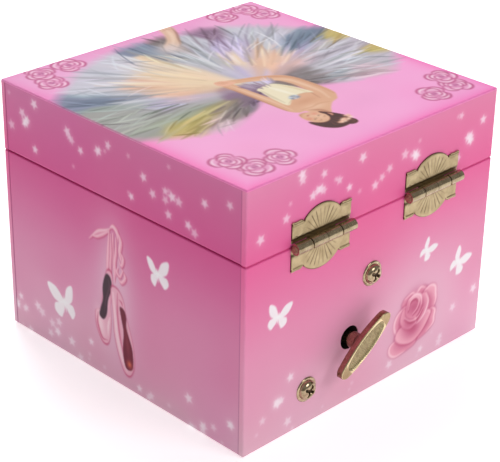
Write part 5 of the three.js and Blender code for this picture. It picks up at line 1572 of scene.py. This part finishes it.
for screw_node in ("movement_screw_upper", "movement_screw_lower"):
    mounting_screw(screw_node)
# ---------- finishes of the CAD parts that stay ----------


def dress(look, *nodes):
    """Gives CAD nodes a finish."""
    for node in nodes:
        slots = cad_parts[node].data.materials
        for k in range(max(1, len(slots))):
            if k < len(slots):
                slots[k] = look
            else:
                slots.append(look)


def board_look():
    """Raw fibreboard, black round the key's hole so that the movement doesn't show."""
    look = Look("fibreboard")
    fibre, cloud = look.noise(0.5, 7.0, (1, 1, 3)), look.noise(7.0, 4.0)
    raw = look.clouds(cloud, (186, 148, 108), (160, 122, 84))
    raw = look.between(look.spread(fibre, 0, 0.5), raw, tone((132, 98, 66)))
    low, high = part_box("key_shaft")
    middle = (low + high) / 2
    parts = look.node("SeparateXYZ", {"Vector": look.place}).outputs
    flat = look.node("CombineXYZ", {"X": parts["X"], "Z": parts["Z"]}).outputs["Vector"]
    away = look.node(
        "VectorMath", {0: flat, 1: (middle.x, 0, middle.z)}, operation="DISTANCE",
    ).outputs["Value"]
    blackened_round_hole = look.spread(away, 1, 0, 0.0046, 0.0056)
    look.colour(look.between(blackened_round_hole, raw, tone((13, 11, 12))))
    look.rough(look.spread(fibre, 0.7, 0.92))
    return look.bump(fibre, 0.05).material


def spun(name, light, dark, roughness, grain=(1, 1, 1)):
    """Machined or drawn metal: streaks along the tool's path."""
    look = Look(name, metal=1.0)
    streak, cloud = look.noise(0.12, 3.0, grain), look.noise(3.0, 4.0)
    look.colour(look.between(look.spread(streak, 0, 0.3), look.clouds(cloud, light, dark), tone(dark)))
    look.rough(look.spread(streak, *roughness))
    return look.bump(streak, 0.004).material


dress(
    board_look(), "base_back_wall", "base_front_wall", "base_left_wall", "base_right_wall",
    "base_floor_panel", "compartment_divider", "deck_cleat_left", "deck_cleat_right", "lid_top_panel",
    "lid_front_rail", "lid_back_rail", "lid_left_rail", "lid_right_rail",
)

ZINC = Look("cast_zinc", metal=0.85)
ZINC = ZINC.clouded((168, 166, 160), (132, 130, 126), 4.0, (0.4, 0.6), 0.3, 0.03).material
STEEL = spun("ground_steel", (196, 200, 204), (150, 154, 160), (0.22, 0.4), (1, 1, 8))
BRASS = spun("turned_brass", (214, 178, 96), (176, 138, 66), (0.2, 0.36), (6, 1, 1))
SPRING_STEEL = spun("blued_steel", (120, 126, 142), (84, 88, 102), (0.25, 0.4))
dress(ZINC, "movement_bedplate", "spring_housing", "cylinder_bracket_inner", "cylinder_bracket_outer",
      "governor_frame", "spindle_bracket", "governor_fan")
dress(STEEL, "comb", "comb_screw_1", "comb_screw_2", "governor_screw", "spindle_screw", "winding_arbor",
      "arbor_clip", "stop_rod", "clutch_spring")
dress(SPRING_STEEL, "mainspring")
dress(BRASS, "crown_wheel", "cylinder_arbor", "pinned_cylinder", "cylinder_gear", "governor_wheel",
      "governor_worm", "figure_spindle")
dress(KEY_METAL, "key_shaft")
dress(PIN_METAL, "hinge_left_pin", "hinge_right_pin")


def felt_look(name, light, dark):
    """Flocked felt: short fibres in every direction."""
    look = Look(name, roughness=0.95, Sheen_Weight=0.5, Sheen_Roughness=0.5)
    fibre, clump = look.noise(0.3, 8.0, rough=0.75), look.noise(3.0, 4.0)
    look.colour(look.clouds(fibre, light, dark))
    look.rough(look.spread(clump, 0.85, 1.0))
    return look.bump(clump, 0.08).bump(fibre, 0.12).material


dress(felt_look("underside_felt", (146, 52, 88), (104, 30, 60)), "underside_felt")
PUSH = Look("push_block_paper").clouded((226, 120, 168), (206, 92, 146), 2.0, (0.4, 0.6), 0.3, 0.01)
dress(PUSH.material, "lid_push_block")
GLASS = Look("silvered_glass", metal=1.0)
GLASS.clouded((232, 238, 240), (226, 233, 236), 30.0, (0.02, 0.05), 8.0, 0.0005)
dress(GLASS.material, "lid_mirror")
# ---------- linings, pad and deck cover ----------


def satin_look(name, light, dark):
    """Satin: a soft sheen, fine threads one way and a faint slub."""
    look = Look(name, roughness=0.4, Sheen_Weight=0.35, Sheen_Roughness=0.35)
    threads, slub = look.noise(0.22, 2.0, (1, 1, 0.12)), look.noise(0.5, 3.0, (0.2, 1, 1))
    base = look.clouds(look.noise(9.0, 3.0), light, dark)
    look.colour(look.between(look.spread(slub, 0, 0.35), base, tone(dark)))
    look.rough(look.spread(slub, 0.3, 0.46))
    return look.bump(slub, 0.02).bump(threads, 0.012).material


SATIN = satin_look("satin", (246, 180, 209), (240, 166, 200))
PIPING = satin_look("satin_piping", (238, 150, 190), (220, 122, 168))


def from_border(u, v, length, wide):
    """How far each place on a sheet is from the nearest edge."""
    return np.minimum.reduce([u, length - u, v, wide - v])


def rolled(rim, radius, least):
    """From least at a sheet's edge to 1, over a rounded edge."""
    return np.sqrt(np.clip(1 - (1 - np.clip(rim / radius, 0, 1)) ** 2, least, 1))


def soft_steps(length, count, edge):
    """Stations along a length, closer together near its two ends."""
    near = edge * (1 - np.cos(np.linspace(0, math.pi / 2, 8)))
    middle = np.linspace(edge, length - edge, count)
    return np.concatenate([near[:-1], middle, (length - near[::-1])[1:]])


def soft_slab(name, low, high, axis, side, height, count, edge=1.0):
    """A satin sheet in a box; its face on one side of one axis is a height over the other two."""
    across = [k for k in range(3) if k != axis]
    u = soft_steps(high[across[0]] - low[across[0]], count[0], edge)
    v = soft_steps(high[across[1]] - low[across[1]], count[1], edge)
    uu, vv = np.meshgrid(u, v)
    raised = height(uu, vv)
    back = low[axis] if side > 0 else high[axis]
    sheets = []
    for level in (back + side * raised, np.full(uu.shape, back)):
        points = np.empty(uu.shape + (3,))
        points[..., across[0]] = low[across[0]] + uu
        points[..., across[1]] = low[across[1]] + vv
        points[..., axis] = level
        sheets.append(points.reshape(-1, 3))
    outline = grid_outline(*uu.shape)
    faces = grid_faces(*uu.shape) + grid_faces(*uu.shape, uu.size)
    faces += bridge(outline, [k + uu.size for k in outline])
    return outward(mesh_piece(name, np.vstack(sheets), faces, SATIN))


def lining_sheets():
    """Satin drawn over the thin card panels of the tray's four sides."""
    for part, board, axis, side in (
        ("tray_front", "base_front_wall", 1, 1), ("tray_left", "base_left_wall", 0, 1),
        ("tray_right", "base_right_wall", 0, -1), ("tray_divider", "compartment_divider", 1, -1),
    ):
        node = f"{part}_lining"
        low, high = box_mm(node)
        thick = high[axis] - low[axis]
        across = [k for k in range(3) if k != axis]
        length, tall = high[across[0]] - low[across[0]], high[across[1]] - low[across[1]]
        dice = np.random.default_rng(len(node))
        phases = dice.uniform(0, 6, 3)

        def height(u, v, length=length, tall=tall, thick=thick, phases=phases):
            rim = from_border(u, v, length, tall)
            drawn = 0.05 * np.sin(u / 3.1 + phases[0] + 0.6 * np.sin(v / 7)) * bell(v, 9)
            drawn += 0.045 * np.sin(u / 2.3 + phases[1]) * bell(tall - v, 5)
            belly = 0.12 * np.sin(math.pi * u / length) * np.sin(math.pi * v / tall)
            return thick * rolled(rim, 0.7, 0.06) + drawn * np.clip(rim / 1.5, 0, 1) + belly

        sheet = assign(
            soft_slab(f"{part}_satin", low, high, axis, side, height, (120, 60)), "base", node)


def tray_cushion():
    """The crowned satin pad on the tray's floor: three sewn channels by two, and a piped edge."""
    low, high = box_mm("tray_pad")
    length, wide = high[0] - low[0], high[1] - low[1]
    full = high[2] - low[2] - 0.75  # leaves room for the billows

    def height(u, v):
        s, t = u / length, v / wide
        rim = from_border(u, v, length, wide)
        crown = rolled(rim, 5.5, 0.09)
        seams = puckers = 0.0
        for share, span, other, channels in ((s, length, v, 3), (t, wide, u, 2)):
            for k in range(1, channels + 1):
                off = (share - k / (channels + 1)) * span
                seams = seams + bell(off, 0.9)
                puckers = puckers + 0.16 * np.sin(other * 1.9 + k) * bell(off, 3.2)
        billow = 0.45 * abs(np.sin(4 * math.pi * s) * np.sin(3 * math.pi * t)) ** 0.6
        edge = 0.14 * np.sin((u + v) * 1.6) * bell(rim, 2.4)
        return full * crown - 0.85 * np.clip(seams, 0, 1) * crown + billow + puckers * crown + edge * crown

    pad = soft_slab("tray_cushion", low, high, 2, 1, height, (190, 130), 1.6)
    assign(pad, "base", "tray_pad")
    inset, corner, level = 0.75, 3.0, low[2] + 0.95
    line = []
    for x, y, start in (
        (high[0] - corner, high[1] - corner, 0), (low[0] + corner, high[1] - corner, 90),
        (low[0] + corner, low[1] + corner, 180), (high[0] - corner, low[1] + corner, 270),
    ):
        bend = arc(np.radians(np.linspace(start, start + 90, 9)), corner - inset)
        line += [(x + u, y + v, level) for u, v in bend]
    cord = swept("tray_cushion_piping", through(line, True, 3), 0.7, PIPING, 10, True)
    assign(cord, "base")


def deck_cover():
    """The card deck's satin cover, with eyelets for the spindle and the stop rod."""
    low, high = box_mm("deck_panel")
    length, wide, thick = high[0] - low[0], high[1] - low[1], 0.5
    top = high[2]
    holes = [(middle_mm("figure_spindle")[:2], 2.75), (middle_mm("stop_rod")[:2], 1.15)]

    def height(u, v):
        rim = from_border(u, v, length, wide)
        drawn = 0.035 * np.sin(u / 2.6 + 0.5 * np.sin(v / 4))
        for middle, radius in holes:
            x, y = u + low[0] - middle[0], v + low[1] - middle[1]
            drawn = drawn + 0.05 * np.cos(np.arctan2(y, x) * 9) * bell(np.hypot(x, y) - radius, 2.2)
        return thick * rolled(rim, 0.6, 0.1) + drawn * np.clip(rim / 1.5, 0, 1)

    cover_low, cover_high = [low[0], low[1], top + 0.02], [high[0], high[1], top + thick]
    cover = soft_slab("deck_cover", cover_low, cover_high, 2, 1, height, (150, 60))
    for middle, radius in holes:
        drilled(cover, radius, top - 2, top + 3, SATIN, (*middle, 0))
    assign(sharpen(cover, 50), "base")
    for number, (middle, radius) in enumerate(holes):
        line = [(middle[0] + u, middle[1] + v, top + thick) for u, v in arc(full_turn(40), radius + 0.25)]
        eyelet = swept(f"deck_eyelet_{number + 1}", line, 0.3, KEY_METAL, 10, True)
        assign(eyelet, "base")


def lid_border():
    """The padded satin in the lid: flat behind the mirror and crowned round it, mitred at the corners."""
    low, high = box_mm("lid_lining")
    length, wide = high[0] - low[0], high[1] - low[1]
    thick = high[2] - low[2]
    margin = box_mm("lid_mirror")[0][0] - low[0]

    def height(u, v):
        share = np.clip(from_border(u, v, length, wide) / (margin - 0.35), 0, 1)
        crown = 1.9 * np.sqrt(np.clip(1 - (2 * share - 1) ** 2, 0, 1)) ** 0.8
        a, b = np.minimum(u, length - u), np.minimum(v, wide - v)
        crown = crown - 1.1 * bell(a - b, 0.8) * (share < 1)
        along = np.where(a < b, v, u)
        crown = crown + 0.13 * np.sin(along * 1.5) * bell(share - 0.85, 0.2) * (share < 1)
        return thick + np.where(share < 1, np.clip(crown, 0, None), 0) - 0.02

    lining = soft_slab("lid_satin", low, high, 2, -1, height, (150, 150), 9.0)
    assign(lining, "lid", "lid_lining")


lining_sheets()
tray_cushion()
deck_cover()
lid_border()
dress(SATIN, "deck_panel")
# ---------- the figure ----------


def moulded(name, light, dark):
    """Painted moulded plastic."""
    look = Look(name, Coat_Weight=0.2, Coat_Roughness=0.2)
    return look.clouded(light, dark, 1.4, (0.28, 0.4), 0.12, 0.004).material


SKIN = moulded("figure_skin", (240, 202, 180), (228, 182, 158))
HAIR = moulded("figure_hair", (92, 58, 42), (62, 38, 28))
BODICE = moulded("figure_bodice", (244, 170, 200), (228, 140, 180))
SHOES = moulded("figure_shoes", (242, 160, 190), (222, 130, 166))
LIPS = moulded("figure_lips", (206, 92, 96), (186, 74, 82))
EYES = moulded("figure_eyes", (52, 34, 28), (36, 22, 20))


def oval_loft(name, place, sections, look, sides=36):
    """A closed body lofted through ovals of (x, y, z, half width, half depth) at a place."""
    angle = full_turn(sides)
    line = through(np.array(sections, float) + [*place, 0, 0], steps=5)
    points = [
        np.column_stack([x + a * np.cos(angle), y + b * np.sin(angle), np.full(sides, z)])
        for x, y, z, a, b in line
    ]
    return outward(mesh_piece(name, np.vstack(points), flat_ended_tube(len(points), sides), look))


def limb(name, joints, girth, sides):
    """A bare arm or leg along its joints; girth is shares of its length and the radii there."""
    line = through(joints, steps=6)
    return swept(name, line, np.interp(np.linspace(0, 1, len(line)), *girth), SKIN, sides)


def figure():
    """A small moulded ballerina on her spring: on one toe, arms raised, with a plain oval face."""
    x, y, _ = middle_mm("figure_spindle")
    spring_low, spring_high = box_mm("figure_spring")
    figure_low, figure_high = box_mm("dancer_figure")
    foot = spring_high[2]
    pieces = []

    turns, wire, coil = 5, 0.32, 2.1
    angles = np.linspace(0, turns * 2 * math.pi, turns * 30 + 1)
    rise = np.linspace(spring_low[2] + wire, spring_high[2] - wire, len(angles))
    line = np.column_stack([x + coil * np.cos(angles), y + coil * np.sin(angles), rise])
    assign(swept("figure_coil", line, wire, STEEL, 10), "figure", "figure_spring")

    plug = [
        (0, figure_low[2]), (1.15, figure_low[2]), (1.3, figure_low[2] + 0.15), (1.3, foot + 0.1),
        (2.25, foot + 0.1), (2.35, foot + 0.22), (2.3, foot + 0.6), (2.0, foot + 0.78),
        (0.8, foot + 0.85), (0, foot + 0.85),
    ]
    pieces.append(sharpen(lathe("figure_plug", plug, SHOES, (x, y, 0)), 50))
    z = foot + 0.7
    # the standing leg, from the toe to the hip, and the other leg with its foot drawn up to the knee
    pieces.append(oval_loft("figure_leg_standing", (x, y, z), [
        (0, 0, 0, 0.34, 0.42), (0, 0, 0.5, 0.42, 0.52), (0, 0.08, 1.3, 0.44, 0.6), (0, 0.1, 2.0, 0.4, 0.5),
        (-0.03, 0.2, 3.6, 0.62, 0.7), (-0.05, 0.05, 4.9, 0.52, 0.55), (-0.1, 0, 6.6, 0.78, 0.8),
        (-0.15, 0.05, 8.4, 0.95, 0.98), (-0.1, 0.05, 9.6, 1.0, 1.0),
    ], SKIN, 28))
    lifted = np.array([
        (0.55, 0, 8.7), (1.5, -0.75, 7.4), (2.3, -1.25, 6.1), (1.7, -1.0, 5.3), (0.9, -0.6, 4.6),
        (0.35, -0.45, 4.0),
    ]) + [x, y, z]
    girth = [0, 0.2, 0.42, 0.62, 0.85, 1], [0.95, 0.8, 0.56, 0.6, 0.38, 0.3]
    pieces.append(limb("figure_leg_lifted", lifted, girth, 20))
    pieces.append(
        oval_loft("figure_shoe_standing", (x, y, z), [
            (0, 0, -0.05, 0.36, 0.44), (0, 0, 0.45, 0.47, 0.57), (0, 0.07, 1.2, 0.48, 0.64),
            (0, 0.1, 1.65, 0.44, 0.55),
        ], SHOES, 28)
    )
    line = through([lifted[-1], (x + 0.2, y - 0.38, z + 3.4), (x + 0.15, y - 0.3, z + 2.7)], steps=6)
    pieces.append(swept("figure_shoe_lifted", line, np.linspace(0.36, 0.2, len(line)), SHOES, 16))

    tutu_low, tutu_high = box_mm("dancer_tutu")
    waist = tutu_high[2] + 0.3
    top = figure_high[2]
    torso = oval_loft("figure_bodice", (x, y, waist), [
        (0, 0, -2.2, 1.25, 1.1), (0, 0, -1.2, 1.3, 1.05), (0, 0, 0, 1.0, 0.82), (0, -0.03, 0.9, 1.12, 0.9),
        (0, -0.12, 2.0, 1.42, 1.05), (0, -0.1, 2.7, 1.4, 0.92), (0, -0.05, 3.0, 1.25, 0.75),
    ], BODICE)
    pieces.append(torso)
    pieces.append(oval_loft("figure_shoulders", (x, y, waist), [
        (0, -0.04, 2.3, 1.3, 0.85), (0, -0.04, 3.1, 1.42, 0.8), (0, 0, 3.7, 1.5, 0.66),
        (0, 0.02, 4.1, 1.1, 0.5), (0, 0.02, 4.5, 0.52, 0.46), (0, 0, 5.2, 0.42, 0.42),
        (0, -0.02, 5.9, 0.44, 0.44),
    ], SKIN))
    pieces.append(oval_loft("figure_sash", (x, y, waist), [
        (0, 0, -0.15, 1.02, 0.86), (0, 0, 0, 1.1, 0.93), (0, 0, 0.3, 1.12, 0.95), (0, 0, 0.45, 1.04, 0.86),
    ], SHOES))
    head = np.array([x, y - 0.1, waist + 6.9])
    pieces.append(head_mesh(head))
    pieces += face_details(head)
    for side, name in ((-1, "left"), (1, "right")):
        raised = [
            (x + side * 1.3, y + 0.02, waist + 3.75), (x + side * 2.35, y - 0.2, waist + 4.5),
            (x + side * 3.1, y - 0.45, waist + 6.3), (x + side * 2.7, y - 0.6, waist + 8.3),
            (x + side * 1.5, y - 0.65, top - 0.75), (x + side * 0.75, y - 0.65, top - 0.45),
        ]
        girth = [0, 0.15, 0.45, 0.8, 0.92, 1], [0.46, 0.42, 0.34, 0.24, 0.26, 0.12]
        pieces.append(limb(f"figure_arm_{name}", raised, girth, 16))
    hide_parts("dancer_figure")
    for piece in pieces:
        assign(piece, "figure")
    tutu((x, y), (tutu_high[2] + tutu_low[2]) / 2, (tutu_high[0] - tutu_low[0]) / 2)


HEAD = (1.08, 1.2, 1.42)  # half the head's width, depth and height


def head_mesh(centre):
    """An egg-shaped head with a small even nose."""
    rows, columns = 40, 56
    polar = np.linspace(0.02, math.pi - 0.02, rows)[:, None]
    turn = full_turn(columns)
    a = np.sin(polar) * np.cos(turn)
    b = np.sin(polar) * np.sin(turn)
    c = np.cos(polar) * np.ones_like(turn)
    narrow = 1 - 0.2 * np.clip(-c, 0, 1) ** 1.3
    px = HEAD[0] * a * narrow
    py = HEAD[1] * b * (1 - 0.12 * np.clip(-c, 0, 1))
    pz = HEAD[2] * c
    nose = 0.17 * bell(px, 0.17) * bell(pz + 0.12, 0.24) * (b < 0)
    sockets = 0.07 * bell(abs(px) - 0.42, 0.22) * bell(pz - 0.18, 0.18) * (b < 0)
    points = np.stack([px, py - nose + sockets, pz], -1).reshape(-1, 3)
    points = np.vstack([points, [[0, 0, HEAD[2]]], [[0, 0, -HEAD[2]]]]) + centre
    return outward(mesh_piece("figure_head", points, pointed_tube(rows, columns), SKIN))


def face_line(name, centre, count, middle, half, bend, sunk, thick, look, wide=HEAD[0]):
    """A curved line on the face, from its middle (across, up), half its length and its bend."""
    line = []
    for t in np.linspace(-1, 1, count):
        px, pz = middle[0] + half * t, middle[1] + bend * t * t
        py = -HEAD[1] * math.sqrt(1 - (px / wide) ** 2 - (pz / HEAD[2]) ** 2) + sunk
        line.append(centre + [px, py, pz])
    return swept(name, line, thick, look, 8)


def face_details(centre):
    """Plain lowered eyes, a small mouth, and hair smoothed back into a bun."""
    made = []
    for side, name in ((-1, "left"), (1, "right")):
        lid, brow = (side * 0.42, 0.1), (side * 0.44, 0.45)
        made.append(face_line(f"figure_eyelid_{name}", centre, 7, lid, 0.2, 0.05, 0.045, 0.045, EYES))
        made.append(face_line(f"figure_eyebrow_{name}", centre, 7, brow, 0.24, -0.07, 0.02, 0.035, HAIR))
    thick = [0.02, 0.05, 0.07, 0.075, 0.06, 0.075, 0.07, 0.05, 0.02]
    made.append(face_line("figure_mouth", centre, 9, (0, -0.58), 0.2, 0.04, 0.05, thick, LIPS, 0.98))
    rows, columns = 26, 64
    polar = np.linspace(0, 1, rows)[:, None]
    turn = full_turn(columns)
    front = np.clip(-np.sin(turn), 0, 1)
    reach = math.pi * (0.62 - 0.27 * front**1.4)
    angle = 0.03 + polar * (reach - 0.03)
    thick = 1.07 + 0.02 * np.cos(turn * 22) * np.clip(polar * 3, 0, 1)
    outer = np.stack([
        HEAD[0] * np.sin(angle) * np.cos(turn) * thick, HEAD[1] * np.sin(angle) * np.sin(turn) * thick,
        HEAD[2] * np.cos(angle) * thick,
    ], -1).reshape(-1, 3)
    n = rows * columns
    faces = grid_faces(rows, columns, round_columns=True) + grid_faces(rows, columns, n, round_columns=True)
    faces += [list(range(columns)), list(range(n, n + columns))]
    faces += bridge(list(range(n - columns, n)), list(range(2 * n - columns, 2 * n)))
    points = np.vstack([outer, outer * 0.86]) + centre
    made.append(outward(mesh_piece("figure_hair", points, faces, HAIR)))
    bun = lathe("figure_bun", [
        (0, -0.62), (0.36, -0.52), (0.66, -0.28), (0.74, 0.0), (0.66, 0.3), (0.4, 0.54), (0.12, 0.5),
        (0, 0.44),
    ], HAIR, centre + [0, 0.72, 1.48], "Z", 40)
    made.append(bun)
    return made


def net_look():
    """Stiffened pink net: a fine open mesh of threads."""
    look = Look("stiff_net", roughness=0.7)
    first, second = look.bands(0.34, "DIAGONAL"), look.bands(0.34, "X")
    holes = look.node("Math", {0: first, 1: second}, operation="MULTIPLY").outputs[0]
    cloud = look.noise(3.0, 3.0)
    base = look.clouds(cloud, (255, 214, 230), (246, 186, 212))
    look.colour(look.between(look.spread(holes, 0, 0.5, 0.2, 0.8), base, tone((232, 158, 192))))
    look.rough(look.spread(cloud, 0.6, 0.8))
    return look.bump(holes, 0.03).material


def tutu(middle, level, radius):
    """One strip of net folded along its middle and gathered at the waist into two ruffled layers."""
    waist, folds, thick = 1.1, 19, 0.12
    inward, outwards = np.linspace(radius * 0.9, waist + 0.3, 26), np.linspace(
        waist + 0.3, radius - 0.15, 30,
    )
    # the strip's path from the upper edge in to the waist and out again: (radius, height, which layer)
    path = [(r, level + 0.75 - 0.012 * (r - waist) ** 2, 1) for r in inward]
    path += [(waist + 0.12, level + 0.62, 0), (waist, level + 0.3, 0), (waist + 0.12, level, 0)]
    path += [(r, level - 0.12 - 0.008 * (r - waist) ** 2, -1) for r in outwards]
    path = np.array(path)
    ahead = np.gradient(path[:, :2], axis=0)
    normal = np.column_stack([-ahead[:, 1], ahead[:, 0]]) / np.hypot(ahead[:, 0], ahead[:, 1])[:, None]
    columns = 460
    turn = full_turn(columns)
    share = np.clip((path[:, :1] - waist - 0.2) / (radius - waist), 0, 1)
    phase = np.where(path[:, 2:3] > 0, 0.0, 1.7)
    wave = np.sin(
        folds * turn + 0.7 * np.sin(3 * turn) + phase
    ) + 0.25 * np.sin(2 * folds * turn + 1.3 + 2 * phase)
    lifted = wave * 0.46 * share**1.1
    sway = 0.14 * share * np.cos(folds * turn + phase)
    sides = []
    for offset in (thick / 2, -thick / 2):
        far = path[:, :1] + offset * normal[:, :1]
        x = middle[0] + far * np.cos(turn + sway / far)
        y = middle[1] + far * np.sin(turn + sway / far)
        z = path[:, 1:2] + offset * normal[:, 1:2] + lifted
        sides.append(np.stack([x, y, z], -1).reshape(-1, 3))
    rows = len(path)
    n = rows * columns
    faces = grid_faces(rows, columns, round_columns=True) + grid_faces(rows, columns, n, round_columns=True)
    for first in (0, n - columns):
        faces += bridge(list(range(first, first + columns)), list(range(n + first, n + first + columns)))
    ruffle = outward(mesh_piece("figure_tutu", np.vstack(sides), faces, net_look()))
    assign(ruffle, "figure", "dancer_tutu")


figure()
# ---------- floor and finish ----------


def make_floor():
    look = Look("floor", Emission_Color=(1, 1, 1, 1), Emission_Strength=0.52)
    look.clouded((250, 249, 249), (247, 246, 247), 900, (0.55, 0.7), 20, 0.02)
    far, under = 4000, -0.02
    corners = [(-far, -far, under), (far, -far, under), (far, far, under), (-far, far, under)]
    floor = mesh_piece("floor", corners, [[0, 1, 2, 3]], look.material)


make_floor()
